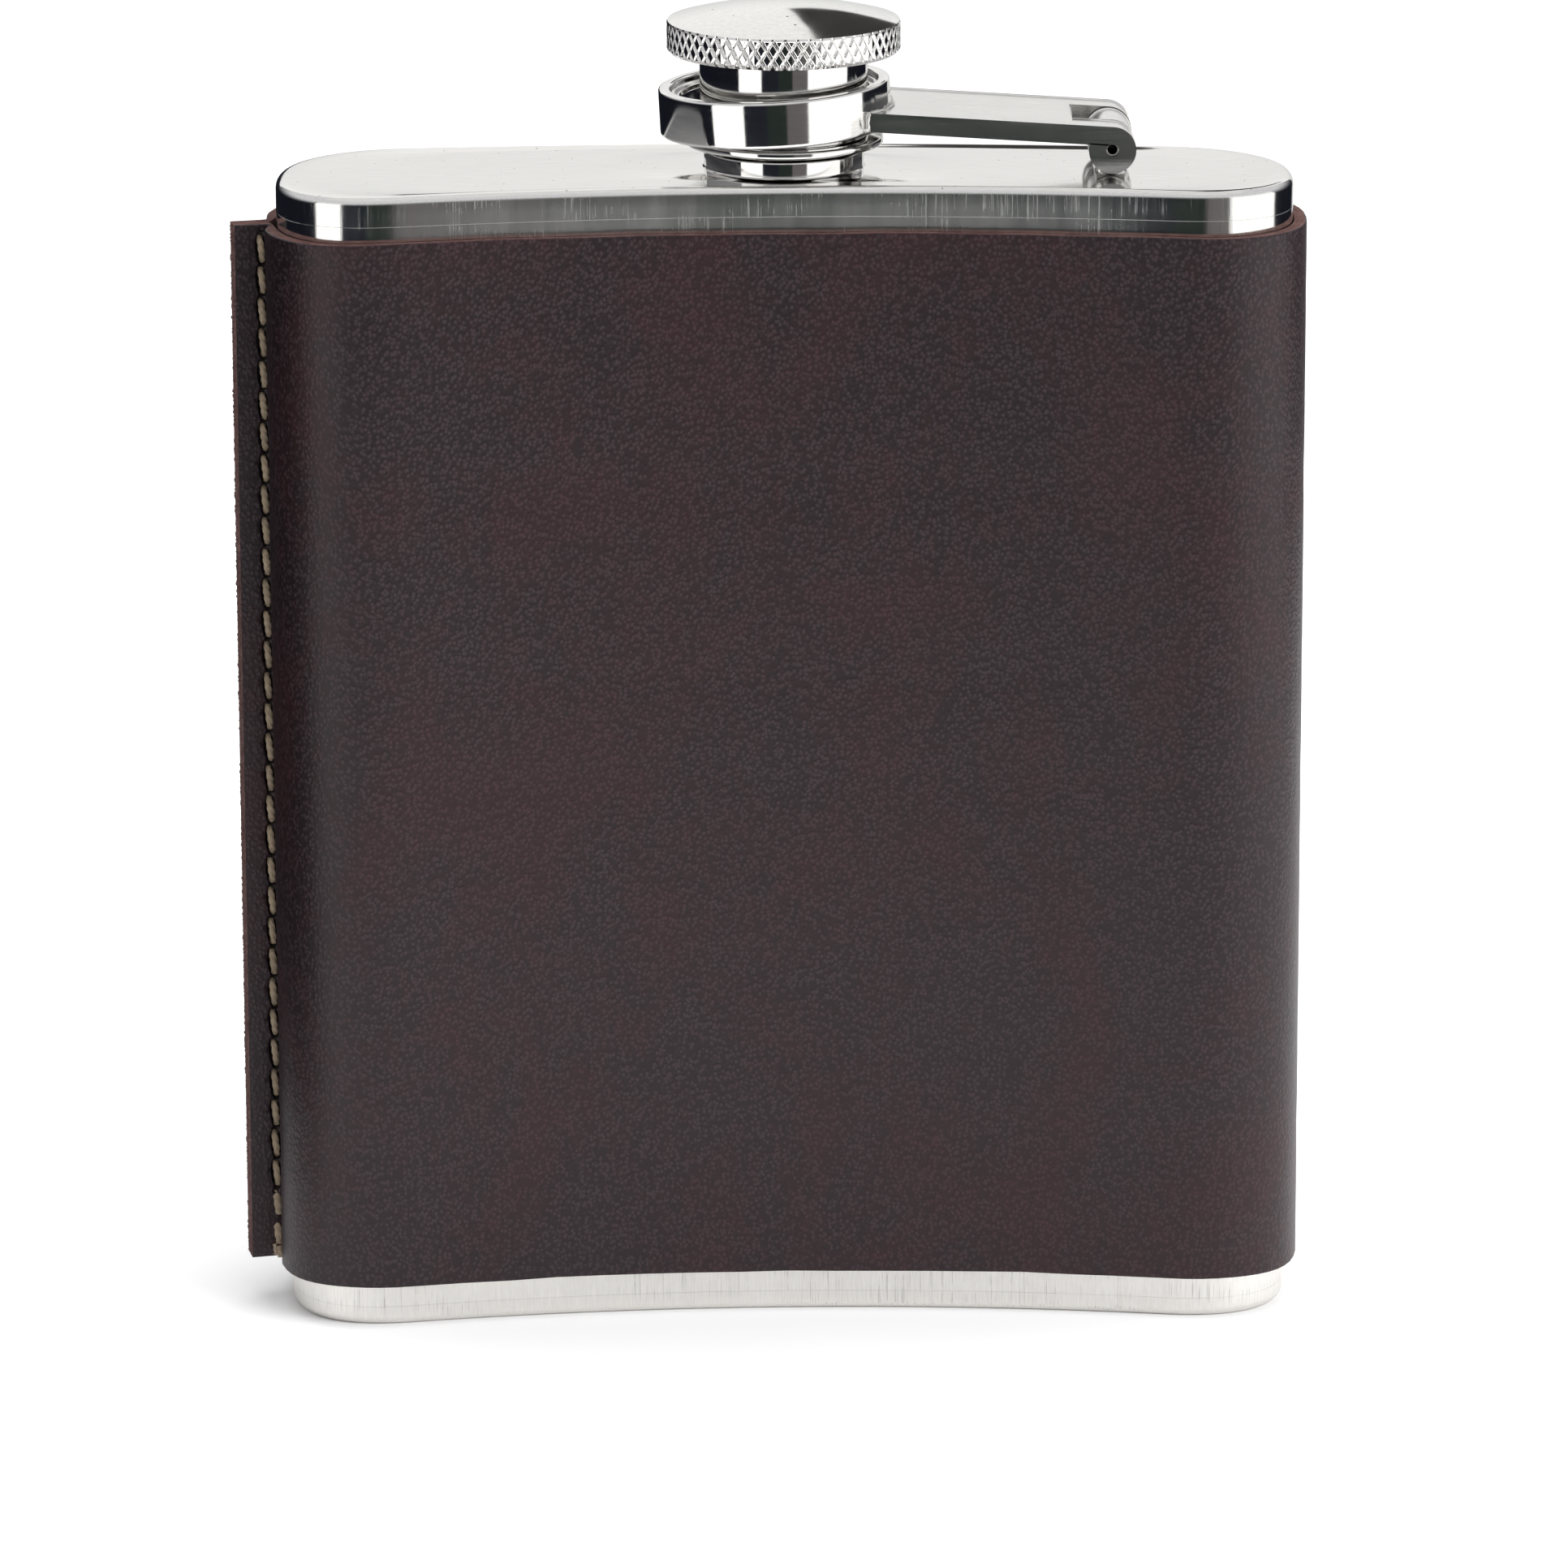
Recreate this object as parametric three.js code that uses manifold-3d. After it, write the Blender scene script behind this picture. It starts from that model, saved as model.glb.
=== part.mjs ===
// Hip flask: a steel body of kidney-shaped section in a sewn leather sleeve, with a captive screw cap.
// Millimetres, +Z up, +X toward the cap's hinge; the body's hollow face looks toward -Y.
// The origin is on the flat of the bottom plate, below the middle of the neck.
import * as THREE from 'three';
import { mergeVertices } from 'three/addons/utils/BufferGeometryUtils.js';
import Module from 'manifold-3d';

const wasm = await Module();
wasm.setup();

// Body
const BODY_WIDTH = 94;
const BODY_DEPTH = 24.4;
const BODY_HEIGHT = 108;
const BODY_BEND = 4.6; // how far the ends of the body curve toward -Y
const BODY_WAIST = 1.4; // how much each face is drawn in at the middle
const BODY_TAPER = 0.05; // share by which the -X end is deeper, and the +X end less deep, than the middle
const LOBE_LENGTH = 12; // the rounded stretch at each end, along X
const LOBE_SQUARENESS = 2.3; // 2 is an ellipse, more is squarer
const SHEET = 0.7;
const TOP_RIM = 2.75;
const BOTTOM_RIM = 1.8;
const EDGE_RADIUS = 0.8;

// Leather sleeve and its sewn fin
const LEATHER = 1.15;
const LEATHER_GAP = 0.12;
const SLEEVE_BOTTOM = 3.95;
const SLEEVE_TOP = 103.95;
const FIN_REACH = 4.3; // beyond the end of the steel
const FIN_ROOT = 1; // where the two layers have met
const FIN_ANGLE = THREE.MathUtils.degToRad(12);
const FIN_LEAVES_LOBE = THREE.MathUtils.degToRad(15);
const FIN_SOFTNESS = 0.3; // of the bend where a layer meets the flat of the fin
const STITCHES = 33;
const STITCH_ALONG = 1.65;
const STITCH_TOP = 103;
const STITCH_BOTTOM = 4.8;
const THREAD_RADIUS = 0.25;
const THREAD_LIFT = 0.38; // of its middle over the leather
const THREAD_DIP = 0.35; // of its middle under the leather's face, in a slit
const THREAD_DIVES = 0.25; // share of a stitch over which the thread dips
const SLIT_LENGTH = 1.75;
const SLIT_WIDTH = 0.9;

// Neck, with heights over the top plate
const NECK_BORE = 4.9;
const NECK_SPIGOT = 6.4;
const NECK_COLLAR = 7.45;
const NECK_ROOT = 5.9;
const NECK_COLLAR_HEIGHT = 1.6;
const NECK_HEIGHT = 8;
const NECK_BELOW_PLATE = 1.3;
const NECK_CHAMFER = 0.25;
const NECK_SCREW_LOW = 2.1;
const NECK_SCREW_HIGH = 7.4;
const THREAD_PITCH = 2;
const NECK_RIDGE = 0.45;
const TURN_GAP = 0.1; // between turned pieces that fit in one another

// Cap
const SLEEVE_BORE = 6.95;
const SLEEVE_OUTER = 7.8;
const SLEEVE_LOW = 1.85;
const SLEEVE_HIGH = 12.9;
const SLEEVE_WEB_LOW = 9.05;
const SLEEVE_WEB_HIGH = 9.9;
const SLEEVE_WEB_BITE = 0.2; // how far the web's disc runs into the sleeve's wall
const SLEEVE_SCREW_LOW = 3.6;
const SLEEVE_SCREW_HIGH = 8.2;
const SLEEVE_GROOVE = 0.3;
const KNOB_RADIUS = 10.85;
const KNOB_LOW = 10.8;
const KNOB_RIM_HIGH = 13.75;
const KNOB_TOP = 15.2;
const KNOB_CHAMFER = 0.35;
const GASKET_RADIUS = 6.75;
const GASKET_LOW = 8.3;
const GASKET_HIGH = 9;
const WASHER_RADIUS = 9.25;
const WASHER_BORE = 7.5;
const WASHER_LOW = 2.15;
const WASHER_HIGH = 2.9;
const WASHER_ROUND = 0.2;
const WASHER_PLAY = 0.05; // above and below, in its groove
const SNAP_GROOVE = 7.35;

// Captive ring, arm and hinge
const RING_OUTER = 10.75;
const RING_INNER = 9.65;
const RING_HOLLOW = 10.2; // inner radius below the flange, where the washer rises with the cap
const RING_FLANGE = 8.8;
const RING_FLANGE_LOW = 3.1;
const RING_FLANGE_THICKNESS = 0.5;
const RING_HEIGHT = 4.35;
const RING_LOW = 3.5;
const RING_SHIFT = -0.7;
const RING_TILT = THREE.MathUtils.degToRad(-3);
const RING_ROUND = 0.3;
const BRAZE_GAP = 0.12;
const HINGE_X = 30.2;
const HINGE_HEIGHT = 2.5;
const ARM_SLOPE = THREE.MathUtils.degToRad(3.6);
const ARM_WIDTH = 13.8;
const ARM_THICKNESS = 1.5;
const KNUCKLE_RADIUS = 2.05;
const PIN_RADIUS = 0.62;
const PIN_HOLE = 0.72;
const PIN_LENGTH = 13;
const NOTCH_WIDTH = 6.6;
const NOTCH_REACH = 3.6;
const POST_WIDTH = 6;
const POST_RADIUS = 2;

// Steps round the shapes
const FACE_STEPS = 12;
const LOBE_STEPS = 12;
const TURNED_STEPS = 40;
const THREADED_STEPS = 24;
const THREADED_ROWS = 5; // to one pitch
const FIN_STEPS = 6;
const STITCH_STEPS = 4;
const HINGE_STEPS = 10;
const PIN_STEPS = 16;

const HALF_WIDTH = BODY_WIDTH / 2;
const HALF_DEPTH = BODY_DEPTH / 2;
const FLAT_HALF = HALF_WIDTH - LOBE_LENGTH;
const REAR = Math.PI / 2; // angles round a lobe
const LEFT = Math.PI;
const FRONT = 1.5 * Math.PI;
const HAIR = 1e-6; // puts a lobe's first point on the lobe's own side
const JUST_RIGHT = -REAR + HAIR;
const JUST_LEFT = REAR + HAIR;
const MERGE_DISTANCE = 1e-5;

const steel = (roughness) => new THREE.MeshStandardMaterial({ color: 0xd2d0cc, roughness, metalness: 1 });
const polished = steel(0.12);
const brushed = steel(0.35);
const leather = new THREE.MeshStandardMaterial({ color: 0x3a3032, roughness: 0.55, metalness: 0 });
const thread = new THREE.MeshStandardMaterial({ color: 0x96876e, roughness: 0.8, metalness: 0 });
const silicone = new THREE.MeshStandardMaterial({ color: 0xe2e0da, roughness: 0.5, metalness: 0 });

// ---- Solids and meshes

function solidOf(geometry) {
  const bare = geometry.index ? geometry.toNonIndexed() : geometry.clone();
  bare.deleteAttribute('normal');
  bare.deleteAttribute('uv');
  const merged = mergeVertices(bare, MERGE_DISTANCE);
  const vertProperties = Float32Array.from(merged.attributes.position.array);
  const triVerts = Uint32Array.from(merged.index.array);
  return new wasm.Manifold(new wasm.Mesh({ numProp: 3, vertProperties, triVerts }));
}

function geometryOf(solid) {
  const mesh = solid.getMesh();
  const geometry = new THREE.BufferGeometry();
  geometry.setAttribute('position', new THREE.BufferAttribute(Float32Array.from(mesh.vertProperties), 3));
  geometry.setIndex(new THREE.BufferAttribute(Uint32Array.from(mesh.triVerts), 1));
  geometry.computeVertexNormals();
  return geometry;
}

function cut(geometry, ...cutters) {
  return geometryOf(cutters.reduce((left, cutter) => left.subtract(solidOf(cutter)), solidOf(geometry)));
}

function joined(first, second) {
  return geometryOf(solidOf(first).add(solidOf(second)));
}

function extrudeBetween(shape, low, high) {
  const geometry = new THREE.ExtrudeGeometry(shape, { depth: high - low, bevelEnabled: false });
  return geometry.translate(0, 0, low);
}

// A profile of [radius, height] pairs turned about Z. It starts and ends on the axis, or closes on itself.
function turned(profile, steps = TURNED_STEPS) {
  const points = profile.map(([radius, height]) => new THREE.Vector2(radius, height));
  return new THREE.LatheGeometry(points, steps).rotateX(Math.PI / 2);
}

function cylinder(radius, low, high, steps = TURNED_STEPS) {
  return turned([[0, low], [radius, low], [radius, high], [0, high]], steps);
}

// Rows of points, joined by quads. Closed rows join round; a closed stack joins its last row to its first,
// and an open one gets a flat cap at each end.
function skinned(rows, closedStack) {
  const count = rows[0].length;
  const indices = [];
  const stackEnd = closedStack ? rows.length : rows.length - 1;
  for (let row = 0; row < stackEnd; row += 1) {
    for (let step = 0; step < count; step += 1) {
      const next = (step + 1) % count;
      const here = row * count;
      const above = ((row + 1) % rows.length) * count;
      indices.push(here + step, here + next, above + next);
      indices.push(here + step, above + next, above + step);
    }
  }
  if (!closedStack) indices.push(...caps(rows));
  const geometry = new THREE.BufferGeometry().setFromPoints(rows.flat());
  geometry.setIndex(indices);
  geometry.computeVertexNormals();
  return geometry;
}

function caps(rows) {
  const last = (rows.length - 1) * rows[0].length;
  const flat = rows[0].map((point) => new THREE.Vector2(point.x, point.y));
  const triangles = THREE.ShapeUtils.triangulateShape(flat, []);
  const low = triangles.flatMap(([a, b, c]) => [a, c, b]);
  const high = triangles.flatMap(([a, b, c]) => [last + a, last + b, last + c]);
  return [...low, ...high];
}

// ---- The body's section

function bent(x, y) {
  const towardEnd = (x / HALF_WIDTH) ** 2;
  const drawnIn = 1 - (BODY_WAIST / HALF_DEPTH) * (1 - towardEnd);
  const tapered = 1 - (BODY_TAPER * x) / HALF_WIDTH;
  return new THREE.Vector2(x, y * drawnIn * tapered - BODY_BEND * towardEnd);
}

function lobePoint(grow, angle) {
  const rounded = (value) => Math.sign(value) * Math.abs(value) ** (2 / LOBE_SQUARENESS);
  const across = Math.cos(angle);
  const x = Math.sign(across) * FLAT_HALF + (LOBE_LENGTH + grow) * rounded(across);
  return bent(x, (HALF_DEPTH + grow) * rounded(Math.sin(angle)));
}

function facePoints(grow, side) {
  const points = [];
  for (let step = 0; step < FACE_STEPS; step += 1) {
    const x = FLAT_HALF * (1 - (2 * step) / FACE_STEPS);
    points.push(bent(side * x, side * (HALF_DEPTH + grow)));
  }
  return points;
}

function lobePoints(grow, from, to) {
  const points = [];
  const steps = Math.round((LOBE_STEPS * Math.abs(to - from)) / Math.PI);
  for (let step = 0; step < steps; step += 1) {
    points.push(lobePoint(grow, THREE.MathUtils.lerp(from, to, step / steps)));
  }
  return points;
}

// The whole section, counter-clockwise seen from above, grown or shrunk by a distance.
function section(grow) {
  const right = lobePoints(grow, JUST_RIGHT, REAR);
  const left = lobePoints(grow, JUST_LEFT, FRONT);
  return [...facePoints(grow, -1), ...right, ...facePoints(grow, 1), ...left];
}

// A solid of stacked sections, from [grow, height] pairs in either direction.
function stacked(levels) {
  const rows = levels.map(([grow, z]) => section(grow).map((p) => new THREE.Vector3(p.x, p.y, z)));
  if (rows[0][0].z > rows[rows.length - 1][0].z) rows.reverse();
  return skinned(rows, false);
}

// ---- Body pieces

function bodyShell() {
  const shape = new THREE.Shape(section(0));
  shape.holes.push(new THREE.Path(section(-SHEET)));
  return extrudeBetween(shape, BOTTOM_RIM, BODY_HEIGHT - TOP_RIM);
}

// A pressed cover with a rounded edge. Its flat is at faceHeight.
// Its rim runs from there toward the body.
function cover(faceHeight, rim, outward) {
  const depth = (below) => faceHeight - outward * below;
  const levels = [[0, depth(rim)]];
  const roundSteps = 4;
  for (let step = 0; step <= roundSteps; step += 1) {
    const angle = (step / roundSteps) * (Math.PI / 2);
    levels.push([EDGE_RADIUS * (Math.cos(angle) - 1), depth(EDGE_RADIUS * (1 - Math.sin(angle)))]);
  }
  const hollow = stacked([[-SHEET, depth(2 * rim)], [-SHEET, depth(SHEET)]]);
  return cut(stacked(levels), hollow);
}

function topPlate() {
  const neckHole = cylinder(NECK_SPIGOT + TURN_GAP, BODY_HEIGHT - TOP_RIM, BODY_HEIGHT + TOP_RIM);
  return cut(cover(BODY_HEIGHT, TOP_RIM, 1), neckHole);
}

function bottomPlate() {
  return cover(0, BOTTOM_RIM, -1);
}

// ---- Leather sleeve

const LOBE_TIP = bent(-HALF_WIDTH, 0);
const FIN_OUT = new THREE.Vector2(-Math.cos(FIN_ANGLE), -Math.sin(FIN_ANGLE));
const FIN_REARWARD = new THREE.Vector2(-Math.sin(FIN_ANGLE), Math.cos(FIN_ANGLE));

function finPoint(along, rearward) {
  return LOBE_TIP.clone().addScaledVector(FIN_OUT, along).addScaledVector(FIN_REARWARD, rearward);
}

// One face of one layer, from where it leaves the lobe to the fin's edge. Side is -1 in front, 1 behind.
function finFace(grow, side, fromMiddle) {
  const leaveAngle = LEFT - side * FIN_LEAVES_LOBE;
  const leave = lobePoint(grow, leaveAngle);
  const nearby = lobePoint(grow, leaveAngle + side * FIN_LEAVES_LOBE / 1000);
  const heading = nearby.sub(leave).normalize();
  const root = finPoint(FIN_ROOT, side * fromMiddle);
  const reach = leave.distanceTo(root) / 2;
  const leaving = leave.clone().addScaledVector(heading, reach);
  const arriving = root.clone().addScaledVector(FIN_OUT, -reach * FIN_SOFTNESS);
  const curve = new THREE.CubicBezierCurve(leave, leaving, arriving, root);
  return [...curve.getPoints(FIN_STEPS), finPoint(FIN_REACH, side * fromMiddle)];
}

// One face of the wrap, from the front edge of the fin round the body to its rear edge.
function wrapFace(grow, fromMiddle) {
  const front = lobePoints(grow, LEFT + FIN_LEAVES_LOBE, FRONT).slice(1);
  const right = lobePoints(grow, JUST_RIGHT, REAR);
  const rear = lobePoints(grow, JUST_LEFT, LEFT - FIN_LEAVES_LOBE);
  const frontFin = finFace(grow, -1, fromMiddle).reverse();
  const rearFin = finFace(grow, 1, fromMiddle);
  const frontHalf = [...frontFin, ...front, ...facePoints(grow, -1)];
  const rearHalf = [...facePoints(grow, 1), ...rear, ...rearFin];
  return [...frontHalf, ...right, ...rearHalf];
}

function slit(height) {
  const through = 3 * (LEATHER + LEATHER_GAP);
  const box = new THREE.BoxGeometry(SLIT_WIDTH, through, SLIT_LENGTH);
  const middle = finPoint(STITCH_ALONG, 0);
  return box.rotateZ(FIN_ANGLE).translate(middle.x, middle.y, height);
}

function stitchHeight(count) {
  return THREE.MathUtils.lerp(STITCH_TOP, STITCH_BOTTOM, count / STITCHES);
}

function leatherSleeve() {
  const outer = wrapFace(LEATHER_GAP + LEATHER, LEATHER_GAP / 2 + LEATHER);
  const inner = wrapFace(LEATHER_GAP, LEATHER_GAP / 2);
  const wrap = extrudeBetween(new THREE.Shape([...outer, ...inner.reverse()]), SLEEVE_BOTTOM, SLEEVE_TOP);
  const slits = Array.from({ length: STITCHES + 1 }, (_, count) => slit(stitchHeight(count)));
  return cut(wrap, ...slits);
}

// A thread that lies on one face of the fin and dips into every slit. Equal shares of t are equal stitches.
class StitchLine extends THREE.Curve {
  constructor(side) {
    super();
    this.side = side;
  }

  getPoint(t, target = new THREE.Vector3()) {
    const stitch = t * STITCHES;
    const fromSlit = Math.abs(stitch - Math.round(stitch));
    const lying = Math.min(fromSlit / THREAD_DIVES, 1);
    const over = THREE.MathUtils.lerp(-THREAD_DIP, THREAD_LIFT, lying);
    const place = finPoint(STITCH_ALONG, this.side * (LEATHER_GAP / 2 + LEATHER + over));
    return target.set(place.x, place.y, stitchHeight(stitch));
  }

  getPointAt(t, target) {
    return this.getPoint(t, target);
  }

  getTangentAt(t, target) {
    return this.getTangent(t, target);
  }
}

function sewingThread(side) {
  const round = new THREE.Shape();
  round.absarc(0, 0, THREAD_RADIUS, 0, 2 * Math.PI);
  const extrudePath = new StitchLine(side);
  return new THREE.ExtrudeGeometry(round, { extrudePath, steps: STITCHES * STITCH_STEPS, curveSegments: 3 });
}

// ---- Neck and cap, with heights over the top plate

function threadedRow(radius, ridge, z) {
  const row = [];
  for (let step = 0; step < THREADED_STEPS; step += 1) {
    const turn = step / THREADED_STEPS;
    const phase = 2 * Math.PI * (z / THREAD_PITCH - turn);
    const r = radius + (ridge * (1 + Math.cos(phase))) / 2;
    const angle = turn * 2 * Math.PI;
    row.push(new THREE.Vector3(r * Math.cos(angle), r * Math.sin(angle), z));
  }
  return row;
}

function plainRows(pairs) {
  return pairs.map(([radius, z]) => threadedRow(radius, 0, z));
}

function threadRows(radius, ridge, low, high) {
  const rows = [];
  const steps = Math.round(((high - low) / THREAD_PITCH) * THREADED_ROWS);
  for (let step = 0; step <= steps; step += 1) {
    rows.push(threadedRow(radius, ridge, THREE.MathUtils.lerp(low, high, step / steps)));
  }
  return rows;
}

function neck() {
  const spigot = plainRows([
    [NECK_BORE, -NECK_BELOW_PLATE],
    [NECK_SPIGOT, -NECK_BELOW_PLATE],
    [NECK_SPIGOT, 0],
  ]);
  const collar = plainRows([
    [NECK_COLLAR, 0],
    [NECK_COLLAR, NECK_COLLAR_HEIGHT - NECK_CHAMFER],
    [NECK_COLLAR - NECK_CHAMFER, NECK_COLLAR_HEIGHT],
    [NECK_ROOT, NECK_COLLAR_HEIGHT],
  ]);
  const screw = threadRows(NECK_ROOT, NECK_RIDGE, NECK_SCREW_LOW, NECK_SCREW_HIGH);
  const lip = plainRows([
    [NECK_ROOT, NECK_HEIGHT - NECK_CHAMFER],
    [NECK_ROOT - NECK_CHAMFER, NECK_HEIGHT],
    [NECK_BORE, NECK_HEIGHT],
  ]);
  return skinned([...spigot, ...collar, ...screw, ...lip], true);
}

function capKnob() {
  const socket = SLEEVE_OUTER + TURN_GAP;
  const domeEdge = KNOB_RADIUS - KNOB_CHAMFER;
  const profile = [
    [0, SLEEVE_HIGH + TURN_GAP],
    [socket, SLEEVE_HIGH + TURN_GAP],
    [socket, KNOB_LOW],
    [domeEdge, KNOB_LOW],
    [KNOB_RADIUS, KNOB_LOW + KNOB_CHAMFER],
    [KNOB_RADIUS, KNOB_RIM_HIGH - KNOB_CHAMFER],
  ];
  const domeSteps = 5;
  for (let step = 0; step <= domeSteps; step += 1) {
    const outward = 1 - step / domeSteps;
    const rise = (KNOB_TOP - KNOB_RIM_HIGH) * (1 - outward ** 2);
    profile.push([domeEdge * outward, KNOB_RIM_HIGH + rise]);
  }
  return turned(profile);
}

function capSleeve() {
  const grooveLow = WASHER_LOW - WASHER_PLAY;
  const grooveHigh = WASHER_HIGH + WASHER_PLAY;
  const bore = threadRows(SLEEVE_BORE, SLEEVE_GROOVE, SLEEVE_SCREW_LOW, SLEEVE_SCREW_HIGH).reverse();
  const outside = plainRows([
    [SLEEVE_BORE, SLEEVE_LOW],
    [SLEEVE_OUTER, SLEEVE_LOW],
    [SLEEVE_OUTER, grooveLow],
    [SNAP_GROOVE, grooveLow],
    [SNAP_GROOVE, grooveHigh],
    [SLEEVE_OUTER, grooveHigh],
    [SLEEVE_OUTER, SLEEVE_HIGH],
    [SLEEVE_BORE, SLEEVE_HIGH],
  ]);
  const web = cylinder(SLEEVE_BORE + SLEEVE_WEB_BITE, SLEEVE_WEB_LOW, SLEEVE_WEB_HIGH);
  return joined(skinned([...bore, ...outside], true), web);
}

function capGasket() {
  return cylinder(GASKET_RADIUS, GASKET_LOW, GASKET_HIGH);
}

function retainingWasher() {
  return turned([
    [WASHER_BORE, WASHER_LOW],
    [WASHER_RADIUS - WASHER_ROUND, WASHER_LOW],
    [WASHER_RADIUS, WASHER_LOW + WASHER_ROUND],
    [WASHER_RADIUS, WASHER_HIGH - WASHER_ROUND],
    [WASHER_RADIUS - WASHER_ROUND, WASHER_HIGH],
    [WASHER_BORE, WASHER_HIGH],
    [WASHER_BORE, WASHER_LOW],
  ]);
}

// ---- Captive ring, arm and hinge

// The ring stands on its own z = 0. It is placed with its tilt by placedRing.
function captiveRing() {
  const flangeHigh = RING_FLANGE_LOW + RING_FLANGE_THICKNESS;
  return turned([
    [RING_HOLLOW, 0],
    [RING_OUTER - RING_ROUND, 0],
    [RING_OUTER, RING_ROUND],
    [RING_OUTER, RING_HEIGHT - RING_ROUND],
    [RING_OUTER - RING_ROUND, RING_HEIGHT],
    [RING_INNER + RING_ROUND, RING_HEIGHT],
    [RING_INNER, RING_HEIGHT - RING_ROUND],
    [RING_INNER, flangeHigh],
    [RING_FLANGE, flangeHigh],
    [RING_FLANGE, RING_FLANGE_LOW],
    [RING_HOLLOW, RING_FLANGE_LOW],
    [RING_HOLLOW, 0],
  ]);
}

function placedRing(geometry) {
  return geometry.rotateY(RING_TILT).translate(RING_SHIFT, 0, RING_LOW);
}

// Side view of the strip with its end curled round the pin, in the hinge's own frame: x away from the ring.
function armShape() {
  const stripEnd = -HINGE_X;
  const underside = KNUCKLE_RADIUS - ARM_THICKNESS;
  const curlEnds = Math.PI - Math.asin(underside / KNUCKLE_RADIUS);
  const shape = new THREE.Shape();
  shape.moveTo(stripEnd, underside);
  shape.lineTo(KNUCKLE_RADIUS * Math.cos(curlEnds), underside);
  shape.absarc(0, 0, KNUCKLE_RADIUS, curlEnds, 2.5 * Math.PI, false);
  shape.lineTo(stripEnd, KNUCKLE_RADIUS);
  const hole = new THREE.Path();
  hole.absarc(0, 0, PIN_HOLE, 0, 2 * Math.PI, true);
  shape.holes.push(hole);
  return shape;
}

// A side view extruded evenly to both sides of the middle plane: the shape's y becomes z.
function acrossHinge(shape, width) {
  const options = { depth: width, bevelEnabled: false, curveSegments: HINGE_STEPS };
  const geometry = new THREE.ExtrudeGeometry(shape, options);
  return geometry.translate(0, 0, -width / 2).rotateX(Math.PI / 2);
}

function captiveArm() {
  const notch = new THREE.BoxGeometry(2 * NOTCH_REACH, NOTCH_WIDTH, 3 * KNUCKLE_RADIUS);
  const strip = cut(acrossHinge(armShape(), ARM_WIDTH), notch);
  const placed = strip.rotateY(ARM_SLOPE).translate(HINGE_X, 0, HINGE_HEIGHT);
  const ringSeat = placedRing(cylinder(RING_OUTER + BRAZE_GAP, -RING_HEIGHT, 2 * RING_HEIGHT));
  return cut(placed, ringSeat);
}

function hingePost() {
  const shape = new THREE.Shape();
  shape.moveTo(-POST_RADIUS, -HINGE_HEIGHT);
  shape.lineTo(POST_RADIUS, -HINGE_HEIGHT);
  shape.absarc(0, 0, POST_RADIUS, 0, Math.PI, false);
  const hole = new THREE.Path();
  hole.absarc(0, 0, PIN_HOLE, 0, 2 * Math.PI, true);
  shape.holes.push(hole);
  return acrossHinge(shape, POST_WIDTH);
}

function hingePin() {
  return cylinder(PIN_RADIUS, -PIN_LENGTH / 2, PIN_LENGTH / 2, PIN_STEPS).rotateX(Math.PI / 2);
}

// ---- Assembly

function piece(name, geometry, material) {
  const mesh = new THREE.Mesh(geometry, material);
  mesh.name = name;
  return mesh;
}

function body() {
  const group = new THREE.Group();
  group.add(piece('body_shell', bodyShell(), brushed));
  group.add(piece('top_plate', topPlate(), polished));
  group.add(piece('bottom_plate', bottomPlate(), brushed));
  group.add(piece('leather_sleeve', leatherSleeve(), leather));
  group.add(piece('front_thread', sewingThread(-1), thread));
  group.add(piece('rear_thread', sewingThread(1), thread));
  return group;
}

function hinge() {
  const group = new THREE.Group();
  group.position.set(HINGE_X, 0, HINGE_HEIGHT);
  group.add(piece('hinge_post', hingePost(), polished));
  group.add(piece('hinge_pin', hingePin(), brushed));
  return group;
}

function closure() {
  const group = new THREE.Group();
  group.position.z = BODY_HEIGHT;
  group.add(piece('neck', neck(), polished));
  group.add(piece('cap_knob', capKnob(), polished));
  group.add(piece('cap_sleeve', capSleeve(), polished));
  group.add(piece('cap_gasket', capGasket(), silicone));
  group.add(piece('retaining_washer', retainingWasher(), polished));
  group.add(piece('captive_ring', placedRing(captiveRing()), polished));
  group.add(piece('captive_arm', captiveArm(), polished));
  group.add(hinge());
  return group;
}

const flask = new THREE.Group();
flask.add(body(), closure());

export default flask;
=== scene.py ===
from math import acos, asin, atan2, cos, pi, radians, sin, tan

import bmesh
import bpy
import numpy as np
from mathutils import Matrix, Vector
from numpy import column_stack, concatenate, linspace
from numpy.linalg import norm
from numpy.random import default_rng


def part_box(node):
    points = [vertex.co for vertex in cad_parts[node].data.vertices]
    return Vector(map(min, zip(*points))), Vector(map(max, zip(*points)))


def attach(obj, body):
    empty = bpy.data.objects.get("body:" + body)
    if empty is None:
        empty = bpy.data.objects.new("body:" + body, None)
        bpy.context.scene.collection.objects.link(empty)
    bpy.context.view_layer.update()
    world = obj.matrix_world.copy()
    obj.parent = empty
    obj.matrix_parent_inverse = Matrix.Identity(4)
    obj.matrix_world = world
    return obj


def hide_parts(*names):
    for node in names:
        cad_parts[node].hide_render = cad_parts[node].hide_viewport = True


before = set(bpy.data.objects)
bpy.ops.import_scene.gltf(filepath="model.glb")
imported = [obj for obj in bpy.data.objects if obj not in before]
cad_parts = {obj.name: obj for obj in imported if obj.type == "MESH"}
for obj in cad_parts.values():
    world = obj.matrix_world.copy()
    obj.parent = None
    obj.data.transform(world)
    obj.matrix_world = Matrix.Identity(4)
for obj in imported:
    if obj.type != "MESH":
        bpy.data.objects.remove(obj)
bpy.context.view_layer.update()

MM = 0.001


def low(node):
    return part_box(node)[0] / MM


def high(node):
    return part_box(node)[1] / MM


def heights(node):
    """How high a node begins and ends over the top plate."""
    return low(node).z - TOP, high(node).z - TOP


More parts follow.
